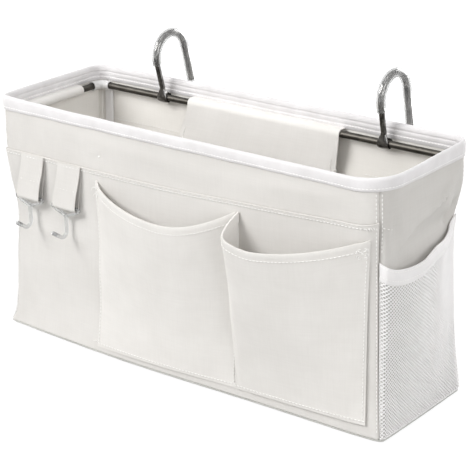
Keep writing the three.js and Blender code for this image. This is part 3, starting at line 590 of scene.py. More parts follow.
def pick(piece, kind, wanted):  # edges or faces, by the place of their middle
    switchTo("EDIT")
    selectMesh("DESELECT")
    bpy.ops.mesh.select_mode(type=kind)
    switchTo("OBJECT")
    mesh = piece.data
    for part in mesh.edges if kind == "EDGE" else mesh.polygons:
        points = [mesh.vertices[i].co for i in part.vertices]
        part.select = wanted(sum(points, Vector((0, 0, 0))) / len(points) / mm)
    switchTo("EDIT")


def arcPoints(centre, first, second, radius, start, end, steps):
    angles = [radians(mix(start, end, t)) for t in evenly(steps)]
    return [centre + first * (radius * cos(a)) + second * (radius * sin(a)) for a in angles]


# one stitch, modelled once and laid along every seam line

deselect()
bpy.ops.mesh.primitive_uv_sphere_add(segments=6, ring_count=4, radius=1)
stitchSeed = named("stitchSeed")
editMesh(
    stitchSeed,
    (bpy.ops.transform.rotate, {"value": pi / 2, "orient_axis": "Y", "center_override": (0, 0, 0)}),
)
stitchPoints = [vert.co.copy() for vert in stitchSeed.data.vertices]
stitchFaces = [tuple(face.vertices) for face in stitchSeed.data.polygons]
bpy.data.objects.remove(stitchSeed)


def stitchPiece(name, lines, length=2.6, pitch=3.3, width=0.36, body="bag"):
    points, faces = [], []
    for line in lines:
        marks = chordMarks(line)
        count = max(1, int(marks[-1] / pitch))
        k = 0
        for i in range(count):
            s = (i + 0.5) * marks[-1] / count
            while k < len(line) - 2 and s > marks[k + 1]:
                k += 1
            a, b = line[k], line[k + 1]
            middle = a.lerp(b, (s - marks[k]) / max(marks[k + 1] - marks[k], 1e-6))
            ahead = (b - a).normalized()
            up = alongZ if abs(ahead.z) < 0.8 else alongX
            side = ahead.cross(up).normalized()
            up = side.cross(ahead)
            start = len(points)
            half = min(length, marks[-1] / count * 0.8) / 2
            for p in stitchPoints:
                spot = middle + ahead * (p.x * half) + side * (p.y * width) + up * (p.z * width)
                points.append(spot * mm)
            faces += [tuple(start + n for n in face) for face in stitchFaces]
    return dress(meshPiece(name, points, faces), thread, body, "tape", angle=180)


# cloth walls

wall = {
    "thick": 1.2, "bottom": 1.5, "top": 216.6, "rows": 76, "crowding": 0.11,
    "groove": 1.3, "grooveReach": 2.2,
    "long": (130, (0.403, 0.215)), "short": (60, (0.128, 0.215)),  # columns and cut size
}
# painted light and shade: the inside walls get a lit copy of one canvas, the front and the right end shaded
# copies
wallCloth = {"front": shadedFrontCanvas, "right": shadedEndCanvas, "back": litInnerCanvas, "left": litInnerCanvas}


def towardsEnds(u):  # closer columns at both ends
    return u - wall["crowding"] * sin(2 * pi * u)


def seamGroove(side, run, z):
    low, high = seamRuns(side, z)
    return wall["groove"] * (1 - smooth(min(run - low, high - run) / wall["grooveReach"]))


def wallFace(side, run, z, offset):
    return wallPoint(side, run, z, offset + rumple(side, run, z) - seamGroove(side, run, z))


def acrossSide(side, u, z):
    low, high = seamRuns(side, z)
    return mix(low, high, towardsEnds(u))


def makeWall(side):
    def place(u, v):
        z = mix(wall["bottom"], wall["top"], v)
        return wallFace(side, acrossSide(side, u, z), z, 0)

    columns, flat = wall["long" if side in ("front", "back") else "short"]
    piece = clothSheet(side + "Wall", columns, wall["rows"], place, flat, outOf(side), wall["thick"])
    dress(piece, wallCloth[side], "bag", "cloth", side + "_panel")


for sideName in sides:
    makeWall(sideName)
print("walls sewn")


# base: bottom cloth with a turned seam all round, over a stiff board

base = {
    "thick": 1.2, "seamRadius": 0.95, "seamRise": 1.2, "tuck": 0.4, "steps": 60,
    "ring": 10, "uneven": 0.15, "unevenLength": 14,
}
seamLoop = []
for sideName in sides:
    low, high = seamRuns(sideName, base["seamRise"])
    for t in evenly(base["steps"])[:-1]:
        run = mix(low, high, t)
        offset = rumple(sideName, run, base["seamRise"]) - base["tuck"]
        seamLoop.append(wallPoint(sideName, run, base["seamRise"], offset))
deselect()
bpy.ops.mesh.primitive_circle_add(vertices=len(seamLoop), radius=1, fill_type="NGON")
bottomCloth = named("bottomCloth")
for vert, p in zip(bottomCloth.data.vertices, seamLoop):
    vert.co = p * mm
mapFromAbove(bottomCloth.data)
editMesh(bottomCloth, outwards)
applied(bottomCloth, "SOLIDIFY", thickness=base["thick"] * mm, offset=-1)
dress(bottomCloth, shadedBottomCanvas, "bag", "cloth", "bottom_panel")

seamRings = []
for i, p in enumerate(seamLoop):
    ahead = seamLoop[(i + 1) % len(seamLoop)] - seamLoop[i - 1]
    side = ahead.cross(alongZ).normalized()
    radius = base["seamRadius"] + base["uneven"] * noise(p / base["unevenLength"])
    angles = [2 * pi * k / base["ring"] for k in range(base["ring"])]
    seamRings.append([p + (side * cos(a) + alongZ * sin(a)) * radius for a in angles])
baseSeam = roll("baseSeam", seamRings, closed=True)
# the seam roll carries the painted shade of the darker base canvas
dress(baseSeam, shadedBottomCanvas, "bag", "cloth", angle=180)

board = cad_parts["base_board"]
board.data.materials.clear()
board.data.materials.append(boardFace)
print("base laid")


# rim: white tape folded over the top edge

rim = {
    "thick": 0.8, "columns": 480, "rows": 44, "pucker": 0.3, "wave": 0.5, "foot": 207.5, "depth": 10.8,
    "middle": 214, "crest": -0.6, "stitchSteps": 700,
    "profile": [(0.8, 207.5), (1.35, 208.6), (1.5, 209.6), (1.42, 210.2), (1.55, 211), (1.6, 213.2),
                (1.55, 215), (1.4, 216.2), (1.1, 217.2), (0.35, 218), (-0.6, 218.3), (-1.55, 218),
                (-2.35, 217), (-2.75, 215.8), (-2.85, 214.8), (-2.4, 214), (-2.85, 213.2), (-2.8, 211.5),
                (-2.35, 210.7), (-2.8, 209.9), (-2.5, 208.6), (-2.0, 207.5)],
    "flat": (1.03, 0.025), "stitches": [(1.5, 209.9), (-2.75, 209.9)],
    "rise": [(0, 2.4), (0.06, 0.6), (0.12, 0), (0.40, 0), (0.46, 1.8), (0.51, 3.4), (0.6, 3.0), (0.85, 3.0),
             (0.9, 3.2), (0.96, 3.0), (1, 2.4)],  # by share of the way round, from the front left corner
}
rimLine = splineOf([Vector((a, b)) for a, b in rim["profile"]])
rimLengths = [(name, *seamRuns(name, rim["middle"])) for name in sides]
rimTotal = sum(high - low for _, low, high in rimLengths)


def roundRim(u):  # side and share of it for a share of the way round
    s = (u % 1.0) * rimTotal
    for name, low, high in rimLengths:
        if s <= high - low:
            return name, s / (high - low)
        s -= high - low
    return rimLengths[-1][0], 1.0


def rimPoint(u, offset, z):
    side, share = roundRim(u)
    low, high = seamRuns(side, z)
    angle = 2 * pi * (u % 1.0)
    lift = rim["wave"] * noise(Vector((cos(angle), sin(angle), 0)) * 4)
    lift += levelAt(rim["rise"], u % 1.0) * max(z - rim["foot"], 0) / rim["depth"]
    place = wallPoint(side, mix(low, high, share), min(z, bag["height"]), offset)
    return place + alongZ * (lift + max(z - bag["height"], 0))


def rimPlace(u, v):
    offset, z = rimLine(v)
    angle = 2 * pi * (u % 1.0)
    ring = Vector((cos(angle), sin(angle), 0))
    coarse = noise(ring * 26 + alongZ * (v * 3))
    fine = noise(ring * 60 + alongZ * (v * 2))
    ripple = rim["pucker"] * (coarse + 0.5 * fine)
    return rimPoint(u, offset + (ripple if offset > rim["crest"] else -ripple), z)


rimBinding = clothSheet(
    "rimBinding", rim["columns"], rim["rows"], rimPlace, rim["flat"], alongZ, rim["thick"],
    (bpy.ops.mesh.remove_doubles, {"threshold": 0.00002}),  # joins the tape's ends
)
dress(rimBinding, bindingTape, "bag", "tape", "rim_binding", angle=60)
rimStitch = []
for offset, z in rim["stitches"]:
    rimStitch.append([rimPoint(u, offset, z) for u in evenly(rim["stitchSteps"])])
stitchPiece("rimStitching", rimStitch, length=2.4, pitch=3.0, width=0.28)
print("rim bound")


# bound seam allowances inside the corners

allowance = {
    "width": 10, "half": 1.0, "bottom": 4.4, "top": 198.5, "inset": 5, "steps": 60, "shoulder": 205,
    "ring": 16, "squareness": 0.6, "seat": -2.65, "ripple": 0.25,
}


def makeAllowance(name, side, atEnd, node):
    inwards = -1 if atEnd else 1
    near = seamRuns(side, allowance["shoulder"])[atEnd] + inwards * allowance["inset"]
    rings = []
    for t in evenly(allowance["steps"]):
        z = mix(allowance["bottom"], allowance["top"], t)
        ring = []
        for k in range(allowance["ring"]):
            a = 2 * pi * k / allowance["ring"]
            c, s = (copysign(abs(v)**allowance["squareness"], v) for v in (cos(a), sin(a)))
            run = near + inwards * (allowance["width"] / 2) * (1 + c)
            ripple = allowance["ripple"] * noise((run / 6, z / 11, len(name)))
            ring.append(wallFace(side, run, z, allowance["seat"] + allowance["half"] * s + ripple))
        rings.append(ring)
    piece = roll(name, rings)
    # the corner tapes carry the painted light of the brightened tape
    dress(piece, litSeamTape, "bag", "tape", node, angle=60)


for side, hands in (("front", ("Left", "Right")), ("back", ("Right", "Left"))):
    for atEnd, hand in enumerate(hands):
        label = side.capitalize() + hand
        makeAllowance("cornerTape" + label, side, atEnd, "seam_tape_" + side + "_" + hand.lower())
print("corner tapes bound")


# frame: bent rod, straight rod and two elbows

rod = {
    "radius": 3.0, "z": 204.1, "inset": 7.3, "endInset": 7.3, "sides": 24, "backBend": 12, "bendSteps": 14,
}
rodOutline = outlineAt(rod["z"])
rodLeft, rodRight = rod["inset"] - rodOutline["halfX"], rodOutline["halfX"] - rod["inset"]
rodFront = rodOutline["centreY"] - rodOutline["halfY"] + rod["inset"]
rodBack = rodOutline["centreY"] + rodOutline["halfY"] - rod["inset"]
frontBend, backBend = rodOutline["frontRight"] - rod["inset"], rod["backBend"]
rodStart = rodLeft + rod["endInset"]

bentRod = startRound("bentRod", rod["radius"], rod["sides"], (rodStart, rodBack, rod["z"]), (0, 90, 0))
pull(rodRight - backBend - rodStart, 0, 0)
swing(-90, rod["bendSteps"], (rodRight - backBend, rodBack - backBend, rod["z"]), (0, 0, 1))
pull(0, rodFront + frontBend - rodBack + backBend, 0)
swing(-90, rod["bendSteps"], (rodRight - frontBend, rodFront + frontBend, rod["z"]), (0, 0, 1))
pull(rodStart - rodRight + frontBend, 0, 0)
endRound()
dress(bentRod, rodSteel, "bag", "frame_rod", "frame_bent_rod")
leftRodFront = rodFront + rod["endInset"]
leftRod = startRound("leftRod", rod["radius"], rod["sides"], (rodLeft, leftRodFront, rod["z"]), (90, 0, 0))
pull(0, rodBack - rod["endInset"] - leftRodFront, 0)
endRound()
dress(leftRod, rodSteel, "bag", "frame_rod", "frame_left_rod")

elbow = {
    "radius": 4.5, "waist": 0.92, "collar": 2.2, "step": 0.4, "bend": 7, "bendSteps": 10, "leg": 5,
    "socket": 5, "wall": 1.1, "edge": 0.3,
}


def makeElbow(name, sideways, node):  # sideways is 1 at the back and -1 at the front
    y, z = rodBack if sideways > 0 else rodFront, rod["z"]
    turnX, turnY = rodLeft + elbow["bend"], y - sideways * elbow["bend"]
    neck, collar, step = elbow["leg"] - elbow["collar"], elbow["collar"], elbow["step"]
    endX = turnX + elbow["leg"]
    piece = startRound(name, elbow["radius"], rod["sides"], (endX, y, z), (0, 90, 0))
    pull(-collar, 0, 0)
    pull(-step, 0, 0)
    taper(1, elbow["waist"], elbow["waist"], (endX - collar - step, y, z))
    pull(step - neck, 0, 0)
    swing(90 * sideways, elbow["bendSteps"], (turnX, turnY, z), (0, 0, 1))
    pull(0, -sideways * (neck - step), 0)
    pull(0, -sideways * step, 0)
    taper(1 / elbow["waist"], 1, 1 / elbow["waist"], (rodLeft, turnY - sideways * neck, z))
    pull(0, -sideways * collar, 0)
    bpy.ops.mesh.inset(thickness=elbow["wall"] * mm)
    pull(0, sideways * elbow["socket"], 0)
    pick(piece, "FACE", lambda middle: middle.x > endX - 0.05)
    bpy.ops.mesh.inset(thickness=elbow["wall"] * mm)
    pull(-elbow["socket"], 0, 0)
    endRound()
    softEdges(piece, elbow["edge"], 2, 40)
    dress(piece, elbowPlastic, "bag", "elbow", node)


makeElbow("elbowBack", 1, "elbow_back_left")
makeElbow("elbowFront", -1, "elbow_front_left")
print("frame bent")


# rod casings: a long flap at the back, short rolls elsewhere

casing = {
    "thick": 1.0, "radius": 4.4, "bottom": 62, "skew": (3.5, 13.5), "skewDrop": 40,
    "edge": -1.7, "edgeTuck": 0.2, "shoulder": -4.0, "seam": -2.4,  # offsets where the roll meets the wall
    "back": (-80.5, 84), "front": (-80, 80), "left": (-29.6, 44.5), "right": (-22, 22),
    "hang": [(-11.3, 190), (-9.8, 160), (-7.6, 128), (-5.2, 98), (-3.1, 74)],  # of the flap, to its seam
    "flare": 1.6, "flareReach": 8, "flareTop": 194, "flareFade": 24,  # free side edges of the flap
}


def rollProfile(radius, lowerSeam=None):
    z, out = rod["z"], -rod["inset"]
    turns = [pi * k / 12 for k in range(6, -7, -1)]
    arc = [(out - radius * cos(a), z + radius * sin(a)) for a in turns]
    edge, shoulder, sewn = casing["edge"], casing["shoulder"], radius - casing["edgeTuck"]
    start = [(edge, z + sewn), (shoulder, z + radius)]
    if lowerSeam is None:
        return splineOf(start + arc + [(shoulder, z - radius), (edge, z - sewn)])
    return splineOf(start + arc[:7] + casing["hang"] + [(casing["seam"], lowerSeam)])


def makeCasing(name, side, columns, rows, profile, ends, flat, node, ruffle, skew=(0, 0)):
    def place(u, v):
        offset, z = profile(v)
        run = mix(*ends, u) + mix(*skew, u) * smooth((rod["z"] - z) / casing["skewDrop"])
        edge = min(u, 1 - u) * (ends[1] - ends[0])
        free = smooth((rod["inset"] + 3 - abs(offset + rod["inset"])) / 6)
        ripple = ruffle * noise((run / 13, z / 30, 2.5 + len(name)))
        flare = casing["flare"] * (1 - smooth(edge / casing["flareReach"])) * free
        flare *= smooth((casing["flareTop"] - z) / casing["flareFade"])
        return wallPoint(side, run, z, offset + rumple(side, run, z) * (1 - free) + (ripple + flare) * free)

    piece = clothSheet(name, columns, rows, place, flat, -outOf(side), casing["thick"])
    dress(piece, canvas, "bag", "cloth", node)
    return place


backFlap = makeCasing(
    "backFlap", "back", 60, 60, rollProfile(casing["radius"], casing["bottom"]), casing["back"],
    (0.168, 0.160), "back_rod_casing", 0.5, casing["skew"],
)
shortRoll = rollProfile(casing["radius"])
rolls = {"front": (60, 0.160, 0.5), "left": (34, 0.074, 0.6), "right": (24, 0.044, 0.5)}
for side, (columns, length, ruffle) in rolls.items():  # length as cut
    flat, node = (length, 0.028), side + "_rod_casing"
    makeCasing(side + "Roll", side, columns, 26, shortRoll, casing[side], flat, node, ruffle)

threadLift = Vector((0, -0.3, 0))  # thread lies proud of the cloth
flapStitch = [[backFlap(u, v) + threadLift for v in evenly(60)[14:60]] for u in (0.03, 0.97)]
flapStitch.append([backFlap(u, 0.985) + threadLift for u in evenly(50)])
insideSeam = []
for low, high in ((-190, -100), (92, 182)):
    insideSeam.append([wallFace("back", run, 171.5, -1.5) for run in range(low, high, 3)])
stitchPiece("innerStitching", flapStitch + insideSeam, pitch=3.2, width=0.3)
print("casings hung")


# front: second layer of cloth from the seam line down

overlay = {
    "thick": 1.1, "face": 1.5, "bottom": 3.2, "lip": 0.5, "lipReach": 2.6, "columns": 150, "rows": 70,
    "top": [(-204, 171.3), (-179, 171.3), (-107, 171.4), (-28, 171.9), (20, 173.6), (62, 175.7),
            (126, 178.4), (164, 180.2), (182, 180.8), (204, 184.5)],
    "flat": (0.403, 0.172), "middleTop": 174, "seamDrop": 2.6,
}


def overlayPlace(u, v):
    run = acrossSide("front", u, mix(overlay["bottom"], overlay["middleTop"], v))
    top = levelAt(overlay["top"], run)
    z = mix(overlay["bottom"], top, v)
    lip = overlay["lip"] * smooth(1 - (top - z) / overlay["lipReach"])
    return wallFace("front", acrossSide("front", u, z), z, overlay["face"] + lip)


def onOverlay(run, z, lift=0.2):
    return wallFace("front", run, z, overlay["face"] + lift)


frontLayer = clothSheet(
    "frontLayer", overlay["columns"], overlay["rows"], overlayPlace, overlay["flat"], -alongY,
    overlay["thick"],
)
dress(frontLayer, layerCanvas, "bag", "cloth", "front_overlay_panel")

topstitch = {
    "foot": 8, "overNet": 158, "top": 206, "steps": 79,  # on the ends the net covers the lower part
    "layerTop": 180, "fromStart": 2.4, "fromEnd": 2.2, "lift": 0.2,
}
seamLine = []
for run in range(-196, 192, 2):
    seamLine.append(onOverlay(run, levelAt(overlay["top"], run) - overlay["seamDrop"], 0.7))
cornerLine = []
for side in sides:
    bottom = topstitch["overNet" if side in ("left", "right") else "foot"]
    for atEnd in (False, True):
        line = []
        for t in evenly(topstitch["steps"]):
            z = mix(bottom, topstitch["top"], t)
            low, high = seamRuns(side, z)
            lift = overlay["face"] if side == "front" and z < topstitch["layerTop"] else 0
            run = high - topstitch["fromEnd"] if atEnd else low + topstitch["fromStart"]
            line.append(wallFace(side, run, z, lift + topstitch["lift"]))
        cornerLine.append(line)
sideSeam = [wallFace("right", mix(-58, -46, t), mix(179.3, 175.2, t), 0.25) for t in evenly(12)]
seamTack = [onOverlay(186 + i, 178.6 + 0.8 * (-1)**i, 0.9) for i in range(8)]
yarnNub = [wallFace("front", -87.5, 184, 0.2), wallFace("front", -84.5, 184.8, 0.2)]
flapSeam = [wallFace("back", run, 64, 0.25) for run in range(-68, 96, 3)]
stitchPiece("frontSeamStitching", [seamLine, *cornerLine, sideSeam, seamTack, flapSeam], width=0.34)
stitchPiece("yarnNub", [yarnNub], length=3, width=0.75)
print("front layer sewn")


# front pockets with a turned hem at the mouth

pocket = {
    "thick": 0.8, "seat": 1.9, "hem": 8.0, "foldRadius": 0.95, "hemShare": 0.10, "foldShare": 0.4,
    "slack": 0.9, "swell": 1.06, "seamReach": 0.12,
}
pocketLeft = {
    "columns": 96, "rows": 64, "flat": (0.162, 0.158),
    "mouth": [(-90, 0.2, 162), (-80.5, 6.5, 157.2), (-65, 11, 151.8), (-45, 15, 147.6), (-24, 17.6, 145),
              (-4, 18.2, 144.6), (16, 17, 147), (34, 13, 152.2), (50, 7, 159), (63, 0.4, 166)],
    "foot": [(-92, 0.3, 7.5), (-20, 1.4, 8.6), (63, 0.3, 10)], "footShare": [(0, 0), (1, 1)],
}
pocketRight = {
    "columns": 110, "rows": 64, "flat": (0.150, 0.158),
    "mouth": [(65, 0.3, 167), (64.2, 9, 162.5), (64.6, 18, 157.5), (67.4, 25.2, 153.2), (76, 27.6, 149.6),
              (95, 27.4, 146.8), (120, 25, 149.6), (143, 20.4, 154.4), (164, 13.6, 160.2), (180, 6, 165.5),
              (190, 0.6, 168.5)],
    "foot": [(65.4, 0.3, 10), (68, 0.9, 10), (126, 1.6, 11.2), (191, 1.5, 13)],
    "footShare": [(0, 0), (0.18, 0.035), (0.4, 0.27), (1, 1)],  # the left side folds down to one corner
}


def pocketSurface(settings):
    mouth, foot = splineOf(settings["mouth"]), splineOf(settings["foot"])

    def outer(u, v):
        low, high = foot(levelAt(settings["footShare"], u)), mouth(u)
        run, _, z = low.lerp(high, v)
        depth = mix(low.y, high.y, v**pocket["swell"])
        loose = pocket["slack"] * sin(pi * v)
        loose *= noise((run / 30, z / 52, settings["columns"]))
        loose *= smooth(min(u, 1 - u) / pocket["seamReach"])
        return wallPoint("front", run, z, pocket["seat"] + depth + rumple("front", run, z) + loose)

    def place(u, v):
        w = v * (1 + pocket["hemShare"])
        if w <= 1:
            return outer(u, w)
        edge = outer(u, 1)
        rise = (edge - outer(u, 0.98)).normalized()
        ahead = (outer(min(u + 0.01, 1), 1) - outer(max(u - 0.01, 0), 1)).normalized()
        inwards = rise.cross(ahead).normalized()
        t = (w - 1) / pocket["hemShare"]
        r, fold = pocket["foldRadius"], pocket["foldShare"]
        if t < fold:
            a = pi * t / fold
            return edge + rise * (r * sin(a)) + inwards * (r * (1 - cos(a)))
        return edge + inwards * (2 * r) - rise * (pocket["hem"] * (t - fold) / (1 - fold))

    return outer, place


def makePocket(name, settings, node):
    outer, place = pocketSurface(settings)
    flat = settings["flat"]
    piece = clothSheet(name, settings["columns"], settings["rows"], place, flat, -alongY, pocket["thick"])
    dress(piece, pocketCanvas, "bag", "cloth", node)
    hemAt = 1 - pocket["hem"] * 0.85 / (flat[1] * 1000)
    hemLine = [outer(mix(0.02, 0.985, t), hemAt) + threadLift for t in evenly(120)]
    footLine = [outer(u, 0.022) + threadLift for u in evenly(80)]
    sideLines = [[outer(u, v) + threadLift for v in evenly(70)[2:69]] for u in (0.985, 0.012)]
    return outer, hemLine, footLine, *sideLines


leftOuter, *leftSeams = makePocket("pocketLeft", pocketLeft, "front_pocket_left")
rightOuter, *rightSeams = makePocket("pocketRight", pocketRight, "front_pocket_right")


def barTack(outer, u, v, width, height):  # a small box with a cross
    left, right, lower = u - width, u + width, v - height
    corners = [outer(left, v), outer(right, v), outer(right, lower), outer(left, lower)]
    a, b, c, d = (p + Vector((0, -0.5, 0)) for p in corners)
    return [[a, b], [b, c], [c, d], [d, a], [a, c], [b, d]]


tacks = barTack(rightOuter, 0.966, 0.972, 0.026, 0.05) + barTack(leftOuter, 0.03, 0.96, 0.012, 0.035)
stitchPiece("pocketStitching", [*leftSeams, *rightSeams[:3], *tacks], width=0.32)
print("pockets sewn")


# tabs: doubled straps at the seam line, each round the bar of a clear utility hook

tab = {
    "half": 13, "thick": 0.8, "top": 171.5, "barZ": 132, "loop": 2.25, "behind": 2.65, "front": 1.05,
    "flat": (0.026, 0.086), "rows": (148.5, 169.3), "rowHalf": 11.5, "rowLift": 0.6,
    "sway": 0.22, "swayFrom": 139, "swayFade": 8,
    "places": {"Left": (-168.6, -68.3027, 5.5), "Right": (-124.3, -68.8895, 5.5)},  # bar's x and y, lean
}


def makeTab(label, x, barY, lean, node):
    top, barZ = tab["top"], tab["barZ"]

    def frontAt(z):
        return barY + mix(-tab["loop"], tab["front"], (z - barZ) / (top - barZ))

    path = [Vector((0, frontAt(z), z)) for z in (mix(top, barZ + 2, t) for t in evenly(16))]
    path += arcPoints(Vector((0, barY, barZ)), alongY, alongZ, tab["loop"], 185, 345, 20)
    path += [Vector((0, barY + tab["behind"], mix(barZ + 1.5, top, t))) for t in evenly(16)]
    line = splineOf(path)

    def leanAt(z):
        return lean * smooth((z - barZ) / (top - barZ))

    def place(u, v):
        p = line(v)
        sway = tab["sway"] * noise((u * 3, p.z / 14, x))
        sway *= smooth((p.z - tab["swayFrom"]) / tab["swayFade"])
        return Vector((x + mix(-tab["half"], tab["half"], u) + leanAt(p.z), p.y + sway, p.z))

    piece = clothSheet("tab" + label, 20, 110, place, tab["flat"], -alongY, tab["thick"])
    dress(piece, layerCanvas, node, "cloth", node)

    def onTab(a, z):
        return Vector((x + a + leanAt(z), frontAt(z) - tab["rowLift"], z))

    rows = [[onTab(a, z) for a in (-tab["rowHalf"], 0, tab["rowHalf"])] for z in tab["rows"]]
    stitchPiece("tabStitching" + label, rows, width=0.3, body=node)


utility = {
    "bar": 2.2, "half": 16.4, "shoulder": 2.956, "delta": 9, "neck": 1.8, "corner": 1.6, "edge": 0.75,
    "jay": 1.8, "stem": 13, "radius": 5, "turn": 125, "tip": 12, "tipTaper": 0.6,
}


def makeUtilityHook(label, x, barY, node):
    bar, half, delta = utility["bar"], utility["half"], utility["delta"]
    low, high = -utility["shoulder"], bar / 2
    deselect()
    bpy.ops.mesh.primitive_plane_add(size=1, rotation=(pi / 2, 0, 0))
    ring = named("utilityHook" + label)
    bpy.ops.object.transform_apply()
    editMesh(
        ring,
        (bpy.ops.transform.resize, {"value": (2 * half * mm, 1, (high - low) * mm)}),
        (bpy.ops.transform.translate, {"value": (0, 0, (high + low) / 2 * mm)}),
    )
    pick(ring, "EDGE", lambda middle: middle.z < low + 0.1)
    pull(0, 0, -low - delta)
    taper(utility["neck"] / half, 1, 1, (0, 0, -delta))
    selectMesh("SELECT")
    bpy.ops.mesh.dissolve_limited(angle_limit=0.01)
    bpy.ops.mesh.bevel(offset=utility["corner"] * mm, segments=4, affect="VERTICES")
    bpy.ops.mesh.select_mode(type="FACE")
    selectMesh("SELECT")
    bpy.ops.mesh.inset(thickness=bar * mm)
    bpy.ops.mesh.delete(type="FACE")
    switchTo("OBJECT")
    applied(ring, "SOLIDIFY", thickness=bar * mm, offset=0)
    editMesh(ring, outwards)
    softEdges(ring, utility["edge"], 3, 50)

    stemEnd, radius = -delta - utility["stem"], utility["radius"]
    jay = startRound("utilityJay", utility["jay"], 18, (0, 0, utility["jay"] - delta))
    pull(0, 0, stemEnd + delta - utility["jay"])
    swing(-utility["turn"], 18, (0, -radius, stemEnd), (1, 0, 0))
    turn = radians(utility["turn"])
    ahead = Vector((0, -sin(turn), -cos(turn)))
    tipFrom = Vector((0, radius * (cos(turn) - 1), stemEnd - radius * sin(turn)))
    pull(*(ahead * (utility["tip"] - 1)))
    pull(*ahead)
    taper(*[utility["tipTaper"]] * 3, tipFrom + ahead * utility["tip"])
    endRound()
    applied(ring, "BOOLEAN", object=jay, operation="UNION", solver="EXACT")
    bpy.data.objects.remove(jay)
    editMesh(ring, (bpy.ops.transform.translate, {"value": Vector((x, barY, tab["barZ"])) * mm}))
    dress(ring, clearHook, node, "clear_hook", node)


for label, (x, barY, lean) in tab["places"].items():
    makeTab(label, x, barY, lean, "tab_" + label.lower())
    makeUtilityHook(label, x, barY, "utility_hook_" + label.lower())
print("tabs and utility hooks hung")


# net pockets on the two ends, with a plain band along the mouth

net = {
    "columns": 36, "rows": 42, "yarn": 1.36, "flatness": 0.7, "bottom": 3.2, "seat": 1.0, "half": 60.3,
    "sag": 0.7, "seamReach": 0.15, "seamGap": 0.15, "areaShare": 0.85,
    "bandFront": 12, "bandBack": 8, "bandColumns": 64, "bandRows": 8, "bandThick": 1.1, "bandLift": 0.75,
    "bandCrown": 0.35, "overlap": 0.012, "bandStitches": (0.16, 0.84), "edgeStitches": (0.012, 0.988),
    "mouth": [(-60.2, 0.3, 150.5), (-48, 3.6, 144.5), (-33, 6, 142.8), (-17, 7.4, 143.8), (-5.5, 7.4, 147),
              (5.5, 6.8, 149), (19.5, 5, 149), (37.7, 2.2, 151.5), (46, 1, 155), (56, 0.3, 159.5)],
    "flat": (0.118, 0.140), "bandFlat": (0.120, 0.012),
}
netMouth = splineOf(net["mouth"])


def netSurface(side, u, v, lift=0.0):  # u from the front seam to the back, v from the base to the mouth
    run, depth, z = netMouth(u)
    z = mix(net["bottom"], z, v)
    run = mix(mix(-net["half"], net["half"], u), run, v)
    sag = net["sag"] * sin(pi * v) * noise((run / 26, z / 34, 4.4))
    sag *= smooth(min(u, 1 - u) / net["seamReach"])
    run = -run if side == "left" else run
    low, high = seamRuns(side, z)
    run = min(max(run, low + net["seamGap"]), high - net["seamGap"])
    return wallPoint(side, run, z, net["seat"] + depth * max(v, 0)**0.9 + sag + lift + rumple(side, run, z))


def bandStart(u):
    return 1 - mix(net["bandFront"], net["bandBack"], u) / (netMouth(u).z - net["bottom"])


def makeNet(side):
    label = side.capitalize()
    piece = gridPiece("netPocket" + label, net["columns"], net["rows"])
    squares = {tuple(sorted(edge.vertices)) for edge in piece.data.edges}
    # crosses in every square, whose own sides then go
    editMesh(piece, (bpy.ops.mesh.poke, {}), (bpy.ops.mesh.select_all, {"action": "DESELECT"}))
    for edge in piece.data.edges:
        a, b = (piece.data.vertices[i].co for i in edge.vertices)
        onRim = max(abs(a.x + b.x), abs(a.y + b.y)) > 0.9999
        edge.select = tuple(sorted(edge.vertices)) in squares and not onRim
    switchTo("EDIT")
    bpy.ops.mesh.dissolve_edges(use_verts=False)
    switchTo("OBJECT")
    wide, tall = net["flat"]
    editMesh(piece, (bpy.ops.transform.resize, {"value": (wide, tall, 1)}))
    yarn = net["yarn"] * mm
    applied(piece, "WIREFRAME", thickness=yarn, use_boundary=True, use_even_offset=False, use_replace=True)
    mapFromAbove(piece.data)
    for vert in piece.data.vertices:  # the knotted net is laid on its surface, its yarn pressed flat
        u, v = vert.co.x / wide + 0.5, vert.co.y / tall + 0.5
        vert.co = netSurface(side, u, v * bandStart(u), vert.co.z / mm * net["flatness"]) * mm
    editMesh(piece, outwards)
    dress(piece, netYarn, "bag", "net", "net_pocket_" + side, angle=50)

    def onBand(u, v):
        lift = net["bandLift"] + net["bandCrown"] * sin(pi * v)
        return netSurface(side, u, mix(bandStart(u) - net["overlap"], 1, v), lift)

    band = clothSheet(
        "netBand" + label, net["bandColumns"], net["bandRows"], onBand, net["bandFlat"], outOf(side),
        net["bandThick"],
    )
    dress(band, bandTape, "bag", "tape", "net_band_" + side)
    lines = []
    for share in net["bandStitches"]:
        lines.append([netSurface(side, u, mix(bandStart(u), 1, share), 1.15) for u in evenly(90)])
    for u in net["edgeStitches"]:
        lines.append([netSurface(side, u, v, net["bandLift"]) for v in evenly(70)])
    stitchPiece("netStitching" + label, lines, length=2.0, pitch=2.7, width=0.28)


makeNet("right")
makeNet("left")
print("net pockets hung")


# steel hooks, flattened and curled round the back rod, in clear sleeves

hook = {
    "radius": 2.5, "stem": 34, "arch": 20, "return": 37, "sides": 24, "curlTurn": 230,
    "foot": [(-0.6, 8.3, 2.8, 2.1), (-1.8, 6.2, 3.7, 1.5), (-3.0, 3.8, 4.8, 1.05), (-3.9, 1.6, 5.4, 0.9),
             (-4.15, 0, 5.5, 0.85)],  # y, z, half width, half thickness on the way to the curl
    "footTop": 10, "tipShare": 0.6, "tipRound": 0.8,
    "sleeve": 4.0, "sleeveWall": 1.05, "sleeveEdge": 0.35, "overhang": 0.5,
    "places": {"Left": (-114.5, 15.5, 33.4), "Right": (124, 12, 29)},  # x, lean, start of the sleeve
}


def archOver(overhang, stemEnd):  # return leg, arch and stem, from the tip
    pull(0, 0, hook["return"] + overhang)
    swing(180, 36, (0, hook["arch"], hook["stem"]), (1, 0, 0))
    pull(0, 0, stemEnd - hook["stem"])


def standUp(piece, x, lean):
    piece.rotation_euler.x = radians(lean)
    piece.location = Vector((x, rodBack, rod["z"])) * mm
    activate(piece)
    bpy.ops.object.transform_apply()


